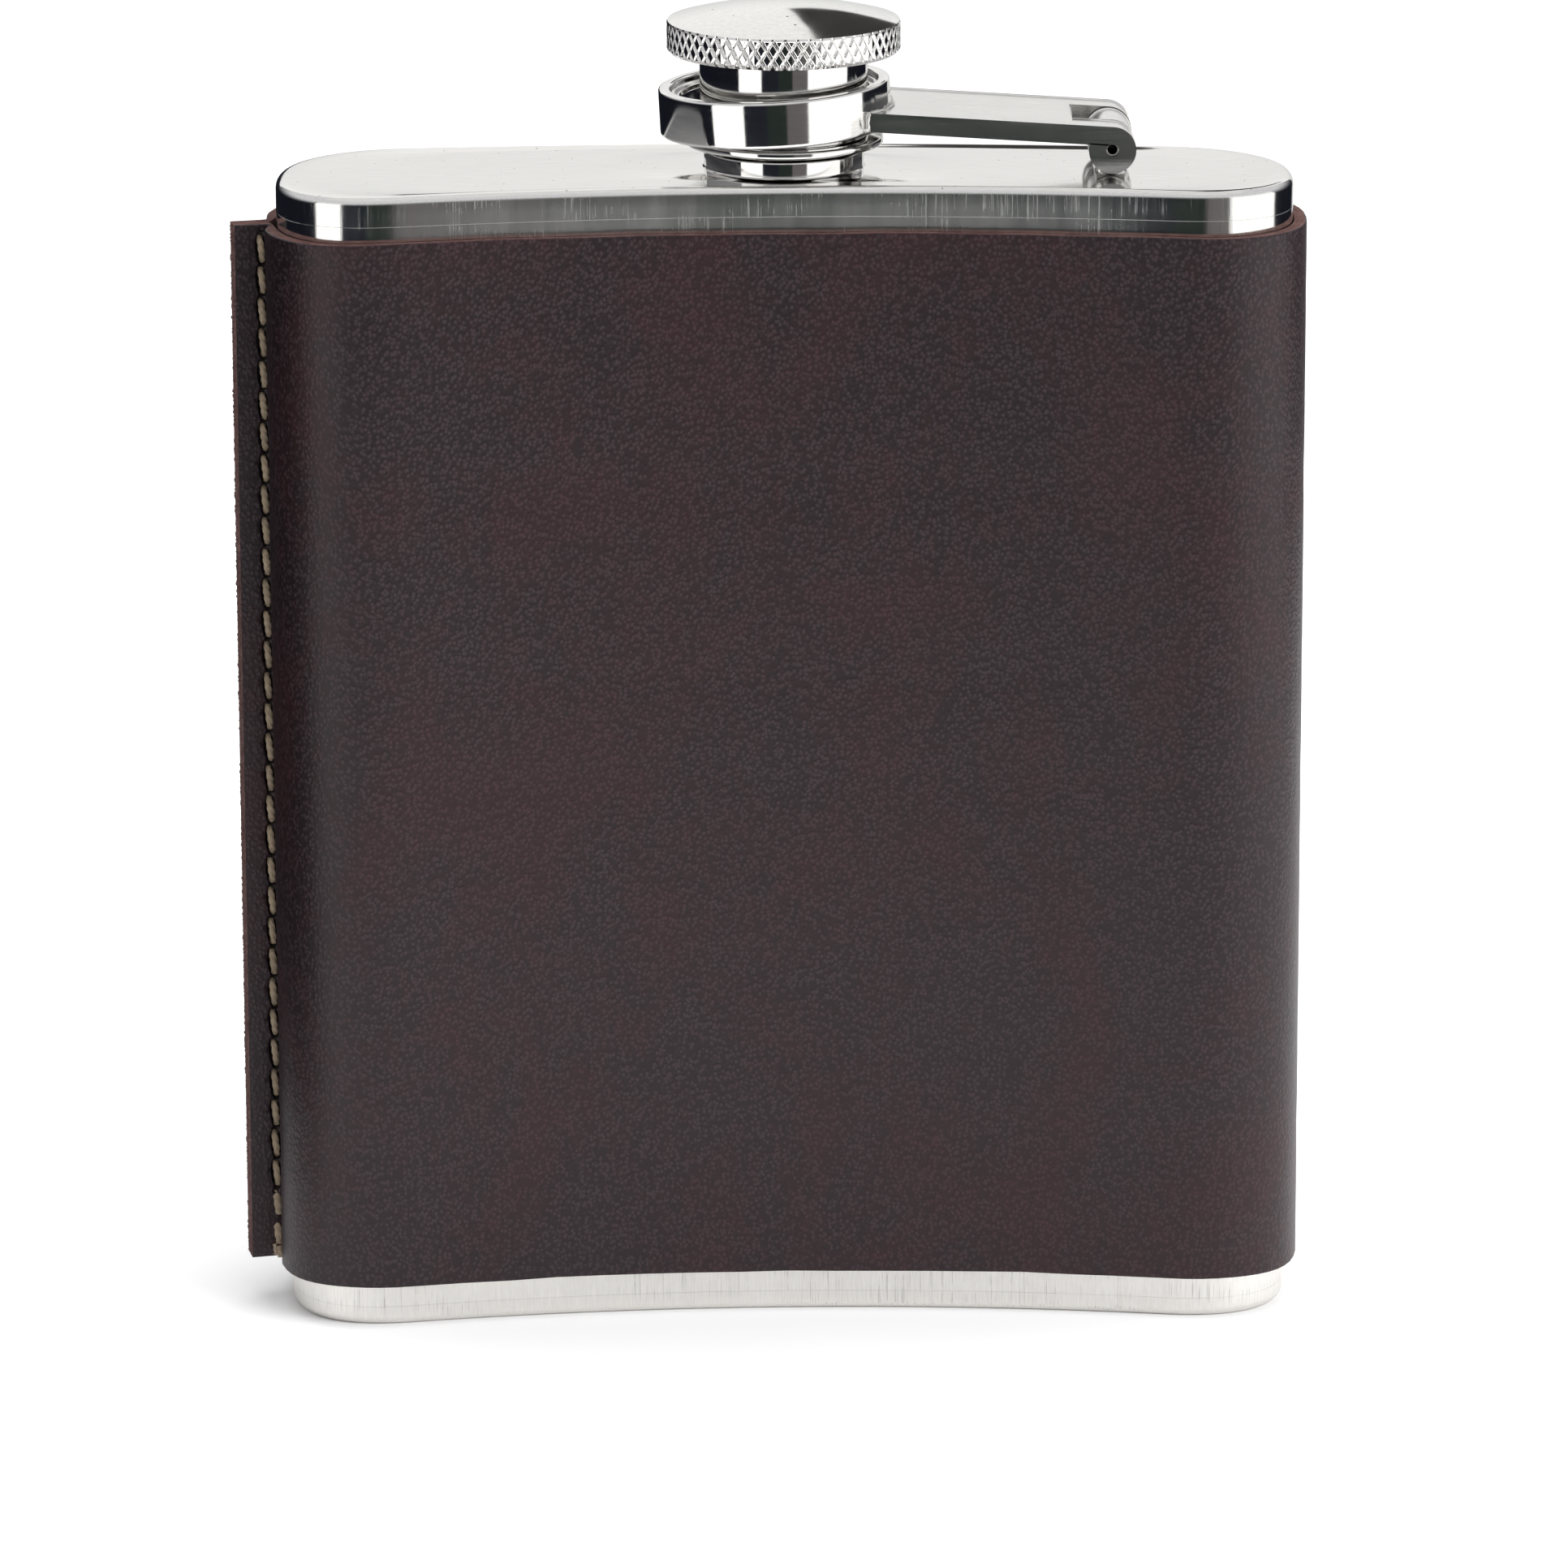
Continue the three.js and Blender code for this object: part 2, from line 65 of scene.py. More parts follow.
# Body
TOP = high("top_plate").z
TOP_RIM_LOW = low("top_plate").z
BOTTOM_RIM_HIGH = high("bottom_plate").z
HALF_WIDTH = high("body_shell").x
HALF_DEPTH = 12.2
BODY_BEND = 4.6
BODY_WAIST = 1.4
BODY_TAPER = 0.05
LOBE_LENGTH = 12
LOBE_SQUARENESS = 2.3
FLAT_HALF = HALF_WIDTH - LOBE_LENGTH
SHEET = 0.7
EDGE_RADIUS = 0.8
TOP_SEAM, BOTTOM_SEAM = 0.03, 0.012
PLATE_DISH = 0.16
FACE_STEPS = 64
LOBE_STEPS = 56

# Leather
SLEEVE_LOW = low("leather_sleeve").z
SLEEVE_HIGH = high("leather_sleeve").z
LEATHER = 1.145
LEATHER_GAP = 0.12
EDGE_ROUND = 0.16
FIN_ROOT = 1.0
FIN_END = 4.12
FIN_ANGLE = radians(12)
FIN_LEAVES_LOBE = radians(15)
FIN_SOFTNESS = 0.3
STITCHES = 33
STITCH_ALONG = 1.65
STITCH_TOP = 103.0
STITCH_BOTTOM = 4.8
STITCH_PITCH = (STITCH_TOP - STITCH_BOTTOM) / STITCHES
STITCH_SLANT = 0.12
LOOSE_STITCHES = 2
# Leather sunk deeper than this counts as a slit's wall, which gets painted shade
SUNK_ENOUGH = 0.17  # for the leather to count as a slit's wall
PLIES, PLY_DEPTH = 3, 0.13  # of the twisted thread, the depth as a share of its radius

# Neck and cap, with heights over the top plate
NECK_BORE = 4.9
NECK_SPIGOT = 6.4
NECK_COLLAR = 7.45
NECK_ROOT = 5.9
NECK_RIDGE = 0.45
NECK_DEPTH = 1.3  # of its spigot, under the top plate's face
NECK_COLLAR_HEIGHT = 1.6
NECK_HEIGHT = high("neck").z - TOP
NECK_SCREW = (2.1, 7.4)
SCREW_PITCH = 2.0
SKIRT_BORE = 6.95
SKIRT_OUTER = 7.8
SKIRT_LOW, SKIRT_HIGH = heights("cap_sleeve")
SKIRT_WEB_LOW = 9.05
SKIRT_SCREW = (3.6, 8.2)
SKIRT_GROOVE = 0.3
SNAP_GROOVE = 7.35
KNOB_RADIUS = high("cap_knob").x
KNOB_LOW, KNOB_TOP = heights("cap_knob")
KNOB_RIM_HIGH = 13.75
KNOB_CHAMFER = 0.35
KNURL_LINES = 60
KNURL_SLOPE = radians(32)
KNURL_GROOVES = ((1, 0.24, 0.17), (-1, 0.2, 0.11))  # which way it slants, half its width, its depth
KNURL_DOME = 0.04
GASKET_RADIUS = high("cap_gasket").x
GASKET = heights("cap_gasket")
WASHER_BORE = 7.5
WASHER_RADIUS = high("retaining_washer").x
WASHER = heights("retaining_washer")

# Captive ring, arm and hinge
RING_OUTER = 10.75
RING_INNER = 9.65
RING_HOLLOW = 10.2
RING_FLANGE = 8.8
RING_FLANGE_LOW = 3.1
RING_FLANGE_THICKNESS = 0.5
RING_HEIGHT = 4.35
RING_LOW = 3.5
RING_SHIFT = -0.7
RING_TILT = radians(-3)
HINGE_X = 30.2
HINGE_HEIGHT = 2.5
ARM_SLOPE = radians(3.6)
ARM_WIDTH = 13.8
ARM_THICKNESS = 1.5
KNUCKLE_RADIUS = 2.05
PIN_RADIUS = 0.62
PIN_HOLE = 0.72
PIN_LENGTH = 13.0
NOTCH_WIDTH = 6.6
NOTCH_REACH = 3.6
POST_WIDTH = 6.0
POST_RADIUS = 2.0
POST_FOOT = 1.15


# ---- Meshes


def grid_faces(row_count, column_count, wrap_rows=False, wrap_columns=False):
    """Quads between rows of points, facing out when rows go up and columns go counter-clockwise."""
    rows = np.arange(row_count if wrap_rows else row_count - 1)
    columns = np.arange(column_count if wrap_columns else column_count - 1)
    row, column = np.meshgrid(rows, columns, indexing="ij")
    above, beside = (row + 1) % row_count, (column + 1) % column_count
    corners = [(row, column), (row, beside), (above, beside), (above, column)]
    return np.stack([r * column_count + c for r, c in corners], -1).reshape(-1, 4).tolist()


def placed(name, data):
    """A new object in the scene."""
    thing = bpy.data.objects.new(name, data)
    bpy.context.scene.collection.objects.link(thing)
    return thing


class Surface:
    """A mesh in the making: patches of points and faces, each with a material number."""

    def __init__(self):
        self.points = []
        self.faces = []
        self.materials = []

    def add(self, points, faces, material=0):
        first = len(self.points)
        self.points.extend(np.asarray(points, float).reshape(-1, 3).tolist())
        self.faces.extend([first + corner for corner in corners] for corners in faces)
        self.materials.extend([material] * len(faces))

    def add_grid(self, grid, material=0, **wraps):
        grid = np.asarray(grid, float)
        self.add(grid, grid_faces(grid.shape[0], grid.shape[1], **wraps), material)

    def finish(self, name, materials, sharp=40, moved=None):
        """The object, in metres, closed where patches meet and with its faces pointing out."""
        mesh = bpy.data.meshes.new(name)
        mesh.from_pydata((np.array(self.points) * MM).tolist(), [], self.faces)
        for material in materials:
            mesh.materials.append(material)
        mesh.polygons.foreach_set("material_index", self.materials)
        if moved:
            mesh.transform(moved)
        work = bmesh.new()
        work.from_mesh(mesh)
        bmesh.ops.remove_doubles(work, verts=work.verts, dist=1e-7)
        bmesh.ops.dissolve_degenerate(work, edges=work.edges, dist=1e-8)
        if work.calc_volume(signed=True) < 0:
            bmesh.ops.reverse_faces(work, faces=work.faces)
        work.to_mesh(mesh)
        work.free()
        mesh.shade_smooth()
        mesh.set_sharp_from_angle(angle=radians(sharp))
        return placed(name, mesh)


def lift(height, x=0):
    return Matrix.Translation((x * MM, 0, height * MM))


def softened(corners, steps=4, closed=False):
    """A polyline from (a, b, radius) corners, each rounded by a curve that starts radius away from it."""
    points = []
    count = len(corners)
    for index, (a, b, radius) in enumerate(corners):
        corner = np.array((a, b), float)
        if radius == 0 or (not closed and index in (0, count - 1)):
            points.append(corner)
            continue
        before = np.array(corners[index - 1][:2], float) - corner
        after = np.array(corners[(index + 1) % count][:2], float) - corner
        start, end = (corner + way / norm(way) * radius for way in (before, after))
        t = linspace(0, 1, steps + 1)[:, None]
        points.extend((1 - t) ** 2 * start + 2 * t * (1 - t) * corner + t**2 * end)
    return np.array(points)


def around(profile, steps, ripple=None):
    """Rows of points: a (radius, height) profile turned about Z. Ripple(angle, radius, z) changes radii."""
    angle = np.arange(steps) * 2 * pi / steps
    radius, height = (np.asarray(profile)[:, axis, None] for axis in (0, 1))
    radius = np.broadcast_to(radius, (len(profile), steps))
    height = np.broadcast_to(height, radius.shape)
    if ripple:
        radius = ripple(angle, radius, height)
    return np.stack([radius * np.cos(angle), radius * np.sin(angle), height], -1)


def turned(name, profile, materials, steps=144, closed=False, ripple=None, moved=None):
    surface = Surface()
    surface.add_grid(around(profile, steps, ripple), wrap_rows=closed, wrap_columns=True)
    return surface.finish(name, materials, moved=moved)


def extruded(side_view, half_width):
    """A side view of (x, z) points, extruded to both sides of the middle plane."""
    surface = Surface()
    x, z = np.asarray(side_view).T
    count = len(x)
    rows = [column_stack([x, np.full(count, y), z]) for y in (-half_width, half_width)]
    surface.add_grid(rows, wrap_columns=True)
    surface.add(rows[0], [list(range(count))])
    surface.add(rows[1], [list(range(count))[::-1]])
    return surface


def arc(radius, start, end, steps):
    angle = linspace(start, end, steps)
    return column_stack([radius * np.cos(angle), radius * np.sin(angle)])


def carved(piece, *cutters):
    """The piece less the cutters, which are removed."""
    for cutter in cutters:
        modifier = piece.modifiers.new("cut", "BOOLEAN")
        modifier.operation = "DIFFERENCE"
        modifier.solver = "EXACT"
        modifier.object = cutter
    baked(piece)
    for cutter in cutters:
        bpy.data.objects.remove(cutter)
    return piece


def eased(piece, width):
    """Every sharp edge gets a small round of that width, and the faces between them stay flat."""
    piece.data.shade_smooth()
    modifier = piece.modifiers.new("ease", "BEVEL")
    modifier.width = width * MM
    modifier.segments = 3
    modifier.limit_method = "ANGLE"
    modifier.use_clamp_overlap = False
    modifier.angle_limit = radians(35)
    piece.modifiers.new("flatten", "WEIGHTED_NORMAL")
    baked(piece)
    return piece


def painted(piece, test):
    """The piece with its second material on the faces that pass the test."""
    for polygon in piece.data.polygons:
        polygon.material_index = int(test(polygon))
    return piece


def baked(piece):
    graph = bpy.context.evaluated_depsgraph_get()
    mesh = bpy.data.meshes.new_from_object(piece.evaluated_get(graph))
    piece.modifiers.clear()
    piece.data = mesh


def wobble(values, wavelength, seed):
    """A smooth random curve between about -1 and 1, from waves of unlike length."""
    random = default_rng(seed)
    total = np.zeros(np.shape(values))
    for share in (1.0, 0.53, 0.29):
        start = random.uniform(0, 2 * pi)
        total += np.sin(values * 2 * pi / (wavelength * share) + start)
    return total / 3


def headings(path):
    tangent = np.gradient(path, axis=0)
    return tangent / norm(tangent, axis=1)[:, None]


def distance_along(path):
    return concatenate([[0], np.cumsum(norm(np.diff(path, axis=0), axis=1))])


def tube(path, radius, sides=8, twist_length=None, flatten=1.0, side_way=(0, 0, 1), lumps=0.0, seed=1):
    """Rows of points round a path. Radius may vary along it. Plies wind round when twist_length is given."""
    path = np.asarray(path, float)
    tangent = headings(path)
    across = np.cross(tangent, side_way)
    across /= norm(across, axis=1)[:, None]
    normal = np.cross(across, tangent)
    angle = np.arange(sides) * 2 * pi / sides
    size = np.broadcast_to(radius, len(path))[:, None] * np.ones(sides)
    if twist_length:
        wound = angle - distance_along(path)[:, None] * 2 * pi / twist_length
        size = size * (1 + PLY_DEPTH * np.cos(PLIES * wound))
    if lumps:
        size = size * (1 + lumps * default_rng(seed).uniform(-1, 1, size.shape))
    ring = across[:, None, :] * (np.cos(angle)[:, None] * size[..., None])
    ring = ring + normal[:, None, :] * (np.sin(angle)[:, None] * size[..., None] * flatten)
    return path[:, None, :] + ring


def add_tube(surface, rows):
    """A tube with both ends closed."""
    sides = list(range(rows.shape[1]))
    surface.add_grid(rows, wrap_columns=True)
    surface.add(rows[0], [sides[::-1]])
    surface.add(rows[-1], [sides])


def looped(name, rows, material):
    """A bead: rows of points round a path that closes on itself."""
    surface = Surface()
    surface.add_grid(rows, wrap_rows=True, wrap_columns=True)
    return surface.finish(name, [material], sharp=80)


# ---- Materials


def plug(tree, socket, value):
    if isinstance(value, bpy.types.NodeSocket):
        tree.links.new(value, socket)
    else:
        socket.default_value = value


def add_node(tree, kind, settings=None, **inputs):
    node = tree.nodes.new("ShaderNode" + kind)
    for key, value in (settings or {}).items():
        setattr(node, key, value)
    for key, value in inputs.items():
        plug(tree, node.inputs[key.replace("_", " ")], value)
    return node


def new_material(name):
    material = bpy.data.materials.new(name)
    material.use_nodes = True
    return material, material.node_tree, material.node_tree.nodes["Principled BSDF"]


def spots_of(tree, size):
    """The piece's own coordinates, measured in steps of size, which is in mm along X, Y and Z."""
    node = add_node(tree, "VectorMath", {"operation": "MULTIPLY"})
    plug(tree, node.inputs[0], add_node(tree, "TexCoord").outputs["Object"])
    node.inputs[1].default_value = [1 / (step * MM) for step in size]
    return node.outputs[0]


def noise(tree, size, detail=2.0, roughness=0.5, distortion=0.0):
    settings = {"Scale": 1.0, "Detail": detail, "Roughness": roughness, "Distortion": distortion}
    return add_node(tree, "TexNoise", Vector=spots_of(tree, size), **settings).outputs["Fac"]


def cells(tree, size):
    """How far a place is from the middle of its cell."""
    return add_node(tree, "TexVoronoi", Vector=spots_of(tree, size), Scale=1.0).outputs["Distance"]


def between(tree, value, from_low, from_high, to_low=0.0, to_high=1.0):
    """The value, stretched from one range to another and kept inside it."""
    limits = {"From_Min": from_low, "From_Max": from_high, "To_Min": to_low, "To_Max": to_high}
    return add_node(tree, "MapRange", Value=value, **limits).outputs["Result"]


def mixed(tree, factor, *colours):
    """A blend of two colours."""
    node = add_node(tree, "Mix", {"data_type": "RGBA"})
    plug(tree, node.inputs[0], factor)
    for socket, colour in zip(node.inputs[6:8], colours):
        plug(tree, socket, (*colour, 1) if isinstance(colour, tuple) else colour)
    return node.outputs[2]


def combined(tree, operation, first, second):
    node = add_node(tree, "Math", {"operation": operation})
    plug(tree, node.inputs[0], first)
    plug(tree, node.inputs[1], second)
    return node.outputs[0]


def bump(tree, height, depth, under=None):
    """A bump of that depth in mm, over another bump if one is given."""
    node = add_node(tree, "Bump", Height=height, Strength=1.0, Distance=depth * MM)
    if under:
        plug(tree, node.inputs["Normal"], under)
    return node.outputs["Normal"]


def dress(tree, shader, base, roughness, normal):
    for name, value in (("Base Color", base), ("Roughness", roughness), ("Normal", normal)):
        plug(tree, shader.inputs[name], value)


def stray_marks(tree):
    """Sparse upright polishing lines, in patches."""
    line = between(tree, noise(tree, (0.13, 0.13, 7)), 0.56, 0.68)
    patch = between(tree, noise(tree, (8, 8, 2.6), detail=3.0), 0.46, 0.6)
    return combined(tree, "MULTIPLY", line, patch)


def across_width(tree):
    """How far a place is from the middle of the width, in mm."""
    parts = add_node(tree, "SeparateXYZ")
    plug(tree, parts.inputs[0], spots_of(tree, (1, 1, 1)))
    return add_node(tree, "Math", {"operation": "ABSOLUTE"}, Value=parts.outputs["X"]).outputs[0]


def steel(name, colour, roughness, streaks, scratch, specks=0.0, smudge=0.05, marks=(0, 0, 0), waves=0.0):
    """Bare stainless steel. Streaks is the size of a polishing mark along X, Y and Z, and scratch its depth.
    Marks is how much upright lines darken it and roughen it, and how much rougher its middle is. Waves is how
    deep its dents are."""
    material, tree, shader = new_material(name)
    fine = noise(tree, streaks, detail=3.0, roughness=0.6)
    coarse = noise(tree, [size * 6 for size in streaks])
    smudges = noise(tree, (9, 9, 9), detail=4.0, roughness=0.6)
    darker = tuple(channel * 0.86 for channel in colour)
    base = mixed(tree, between(tree, fine, 0.3, 0.75), darker, colour)
    rough = between(tree, combined(tree, "ADD", coarse, smudges), 0.7, 1.3, roughness, roughness + smudge)
    if specks:
        spots = cells(tree, (specks, specks, specks))
        mask = between(tree, spots, 0.035, 0.07, 1.0, 0.0)
        base = mixed(tree, mask, base, (0.12, 0.11, 0.1))
        rough = combined(tree, "ADD", rough, combined(tree, "MULTIPLY", mask, 0.4))
    if any(marks):
        mask = stray_marks(tree)
        base = mixed(tree, combined(tree, "MULTIPLY", mask, marks[0]), base, (0.3, 0.29, 0.28))
        rough = combined(tree, "ADD", rough, combined(tree, "MULTIPLY", mask, marks[1]))
        rough = combined(tree, "ADD", rough, between(tree, across_width(tree), 27, 37, marks[2], 0.0))
    dented = bump(tree, noise(tree, (9, 9, 9), detail=1.0), waves) if waves else None
    dress(tree, shader, base, rough, bump(tree, fine, scratch, dented))
    shader.inputs["Metallic"].default_value = 1.0
    return material


def grained_leather():
    """The grain side: small pebbles whose tops are lighter and greyer, partly grain tone and partly a painted
    highlight, over near-black ground, partly painted shade in the hollows, that turns oxblood in patches.
    """
    material, tree, shader = new_material("grained_leather")
    pebble = between(tree, cells(tree, (0.36, 0.36, 0.43)), 0.1, 0.7, 1.0, 0.0)
    creases = noise(tree, (0.3, 0.3, 0.4), detail=3.0, roughness=0.6, distortion=0.2)
    grain = combined(tree, "ADD", pebble, combined(tree, "MULTIPLY", creases, 0.25))
    patches = noise(tree, (15, 15, 20), detail=4.0, roughness=0.6, distortion=0.7)
    mottle = noise(tree, (1.3, 1.3, 1.7), detail=3.0, roughness=0.6)
    cloudy = combined(tree, "ADD", patches, combined(tree, "MULTIPLY", mottle, 0.5))
    redness = between(tree, cloudy, 0.66, 0.9)
    # The ground is the hollows between pebbles: near black, partly the grain's own tone and partly painted
    # shade.
    ground = mixed(tree, redness, (0.0065, 0.003, 0.004), (0.013, 0.003, 0.004))
    # The tops: lighter and greyer, partly the grain's own tone and partly a painted highlight.
    tops_tone_and_highlight = mixed(tree, redness, (0.0245, 0.0148, 0.0178), (0.0285, 0.0112, 0.0142))
    base = mixed(tree, between(tree, grain, 0.35, 0.95), ground, tops_tone_and_highlight)
    rough = between(tree, combined(tree, "ADD", creases, patches), 0.7, 1.3, 0.41, 0.48)
    wrinkles = bump(tree, noise(tree, (2.6, 2.6, 3.4), detail=1.0), 0.008)
    dress(tree, shader, base, rough, bump(tree, grain, 0.024, wrinkles))
    shader.inputs["Specular IOR Level"].default_value = 0.4
    shader.inputs["Specular Tint"].default_value = (1, 0.93, 0.95, 1)
    return material


def matt(name, size, detail, contrast, dark, light, roughness, depth, gloss=0.5):
    """A matt material, from one noise that makes its relief, its colour and how rough it is."""
    material, tree, shader = new_material(name)
    nap = noise(tree, (size, size, size), detail, contrast)
    rough = between(tree, nap, 0.3, 0.7, *roughness)
    dress(tree, shader, mixed(tree, nap, dark, light), rough, bump(tree, nap, depth))
    shader.inputs["Specular IOR Level"].default_value = gloss
    return material


def cut_hide():
    """A raw cut through the hide: matted red-brown fibres."""
    material, tree, shader = new_material("cut_hide")
    fuzz = noise(tree, (0.09, 0.09, 0.22), detail=4.0, roughness=0.7, distortion=0.8)
    tint = noise(tree, (1.2, 1.2, 1.2), detail=3.0)
    ground = mixed(tree, between(tree, tint, 0.35, 0.65), (0.11, 0.045, 0.039), (0.24, 0.13, 0.112))
    base = mixed(tree, between(tree, fuzz, 0.4, 0.7), (0.06, 0.024, 0.021), ground)
    dress(tree, shader, base, between(tree, fuzz, 0.3, 0.7, 0.75, 0.95), bump(tree, fuzz, 0.12))
    return material


def waxed_thread():
    material, tree, shader = new_material("waxed_thread")
    fuzz = noise(tree, (0.05, 0.05, 0.35), detail=3.0, roughness=0.6, distortion=0.3)
    soil = noise(tree, (1.1, 1.1, 2.0), detail=3.0)
    ground = mixed(tree, between(tree, soil, 0.35, 0.7), (0.35, 0.27, 0.185), (0.24, 0.185, 0.125))
    base = mixed(tree, between(tree, fuzz, 0.3, 0.6), (0.16, 0.125, 0.085), ground)
    dress(tree, shader, base, between(tree, fuzz, 0.3, 0.7, 0.6, 0.85), bump(tree, fuzz, 0.03))
    return material


POLISHED = (0.83, 0.82, 0.8)
SATIN = (0.83, 0.81, 0.775)
plate_steel = steel("plate_steel", POLISHED, 0.055, (2.6, 0.12, 0.12), 0.0012, specks=1.5, waves=0.05)
band_steel = steel("band_steel", POLISHED, 0.09, (0.12, 0.12, 4), 0.002, marks=(0.0, 0.13, 0.1))
foot_steel = steel("foot_steel", SATIN, 0.36, (0.09, 0.09, 1.6), 0.006, smudge=0.12, marks=(0.45, 0.1, 0.0))
turned_steel = steel("turned_steel", POLISHED, 0.05, (4, 4, 0.07), 0.0015)
strip_steel = steel("strip_steel", POLISHED, 0.13, (5, 0.09, 0.09), 0.005)
dome_steel = steel("dome_steel", POLISHED, 0.07, (0.5, 0.5, 0.5), 0.001, specks=2.2)
pin_steel = steel("pin_steel", SATIN, 0.25, (0.06, 3, 0.06), 0.003)
# Near-black steel for the insides of the pin's drilled holes: painted shade.
bore_painted_shade = steel("bore_painted_shade", (0.09, 0.085, 0.08), 0.35, (0.1, 0.1, 0.1), 0.003)
braze_metal = steel("braze_metal", (0.76, 0.75, 0.72), 0.22, (0.25, 0.25, 0.25), 0.03, smudge=0.2)
leather = grained_leather()
# Painted shade: near-black colour on the walls of the sewing holes, and of the furrow that a stitch is pulled
# into
slit_shade_colours = (0.002, 0.0018, 0.0018), (0.012, 0.007, 0.0065)
painted_slit_shade = matt("slit_leather_painted_shade", 0.12, 3.0, 0.7, *slit_shade_colours, (0.6, 0.85), 0.05, gloss=0.2)
raw_edge = cut_hide()
flesh = matt("flesh_side", 0.12, 4.0, 0.7, (0.045, 0.022, 0.02), (0.1, 0.055, 0.047), (0.8, 0.97), 0.08)
thread = waxed_thread()
rubber = matt("seal_rubber", 0.6, 4.0, 0.5, (0.62, 0.6, 0.55), (0.78, 0.77, 0.73), (0.42, 0.62), 0.02)


# ---- Body section


def bent(x, y):
    toward_end = (x / HALF_WIDTH) ** 2
    drawn_in = 1 - (BODY_WAIST / HALF_DEPTH) * (1 - toward_end)
    tapered = 1 - BODY_TAPER * x / HALF_WIDTH
    return column_stack([x, y * drawn_in * tapered - BODY_BEND * toward_end])


def lobe(grow, start, end, steps):
    """Points round the end of the body from one angle to another, the last left out."""
    angle = linspace(start, end, steps, endpoint=False)
    across, along = np.cos(angle), np.sin(angle)
    power = 2 / LOBE_SQUARENESS
    side = -1 if cos((start + end) / 2) < 0 else 1
    x = side * (FLAT_HALF + (LOBE_LENGTH + grow) * np.abs(across) ** power)
    return bent(x, (HALF_DEPTH + grow) * np.sign(along) * np.abs(along) ** power)


def face(grow, side, steps):
    x = -side * linspace(-FLAT_HALF, FLAT_HALF, steps, endpoint=False)
    return bent(x, np.full(steps, side * (HALF_DEPTH + grow)))


def outline(grow):
    """The body's section, counter-clockwise seen from above, grown or shrunk by a distance."""
    quarter = pi / 2
    right = lobe(grow, -quarter, quarter, LOBE_STEPS)
    left = lobe(grow, quarter, 3 * quarter, LOBE_STEPS)
    return np.vstack([face(grow, -1, FACE_STEPS), right, face(grow, 1, FACE_STEPS), left])


def at_height(points, z):
    return column_stack([points, np.full(len(points), z)])


# ---- Steel body


def shell():
    """The tube of the body, with softly rounded ends where the plates are welded on."""
    surface = Surface()
    levels = [(-SHEET, BOTTOM_RIM_HIGH), (-BOTTOM_SEAM, BOTTOM_RIM_HIGH), (0, BOTTOM_RIM_HIGH + BOTTOM_SEAM)]
    levels += [(0, z) for z in linspace(BOTTOM_RIM_HIGH + 1, TOP_RIM_LOW - 1, 12)]
    levels += [(0, TOP_RIM_LOW - TOP_SEAM), (-TOP_SEAM, TOP_RIM_LOW), (-SHEET, TOP_RIM_LOW)]
    rows = [at_height(outline(grow), z) for grow, z in levels]
    surface.add_grid(rows, wrap_rows=True, wrap_columns=True)
    piece = surface.finish("body_tube", [band_steel, foot_steel])
    return painted(piece, lambda polygon: polygon.center.z < TOP / 2 * MM)


def smooth(value, start, end):
    t = np.clip((value - start) / (end - start), 0, 1)
    return t * t * (3 - 2 * t)


def plate_rows(face_height, rim, outward, hole, seam):
    """Rows of a pressed plate: round its rim, over the rounded edge, and across a gently dished face."""
    levels = [(-SHEET, rim), (-seam, rim), (0, rim - seam), (0, (rim + EDGE_RADIUS) / 2)]
    for angle in linspace(0, pi / 2, 9):
        levels.append((EDGE_RADIUS * (cos(angle) - 1), EDGE_RADIUS * (1 - sin(angle))))
    rows = [at_height(outline(grow), face_height - outward * below) for grow, below in levels]
    rim_row, hole_row = rows[-1][:, :2], hole_points(hole, rows[-1])
    for share in linspace(0, 1, 25)[1:]:
        dish = PLATE_DISH * smooth(share, 0, 0.22) * (1 - smooth(share, 0.72, 0.95))
        points = rim_row + (hole_row - rim_row) * share
        rows.append(at_height(points, face_height - outward * dish))
    return rows


def hole_points(radius, around_row):
    """A ring of points in the plate's middle, spread as evenly as the row it faces."""
    angle = linspace(0, 2 * pi, len(around_row), endpoint=False)
    start = atan2(around_row[0][1], around_row[0][0])
    return radius * column_stack([np.cos(start + angle), np.sin(start + angle)])


def top_plate():
    surface = Surface()
    rows = plate_rows(TOP, TOP - TOP_RIM_LOW, 1, NECK_SPIGOT + 0.1, TOP_SEAM)
    inner_edge = rows[-1][:, :2]
    rows.append(at_height(inner_edge, TOP - SHEET))
    rows.append(at_height(outline(-SHEET), TOP - SHEET - EDGE_RADIUS))
    surface.add_grid(rows, wrap_rows=True, wrap_columns=True)
    piece = surface.finish("top_cover", [band_steel, plate_steel])
    return painted(piece, lambda polygon: polygon.center.z > (TOP - EDGE_RADIUS / 2) * MM)


def bottom_plate():
    surface = Surface()
    rows = plate_rows(0, BOTTOM_RIM_HIGH, -1, 0.01, BOTTOM_SEAM)
    inside = [at_height(rows[-1][:, :2], SHEET), at_height(outline(-SHEET), SHEET)]
    surface.add_grid(rows + inside, wrap_rows=True, wrap_columns=True)
    return surface.finish("bottom_cover", [foot_steel])


# ---- Leather sleeve

LOBE_TIP = bent(np.array([-HALF_WIDTH]), np.array([0.0]))[0]
FIN_OUT = np.array([-cos(FIN_ANGLE), -sin(FIN_ANGLE)])
FIN_REARWARD = np.array([-sin(FIN_ANGLE), cos(FIN_ANGLE)])


def fin_point(along, rearward):
    along, rearward = np.broadcast_arrays(along, rearward)
    return LOBE_TIP + along[..., None] * FIN_OUT + rearward[..., None] * FIN_REARWARD


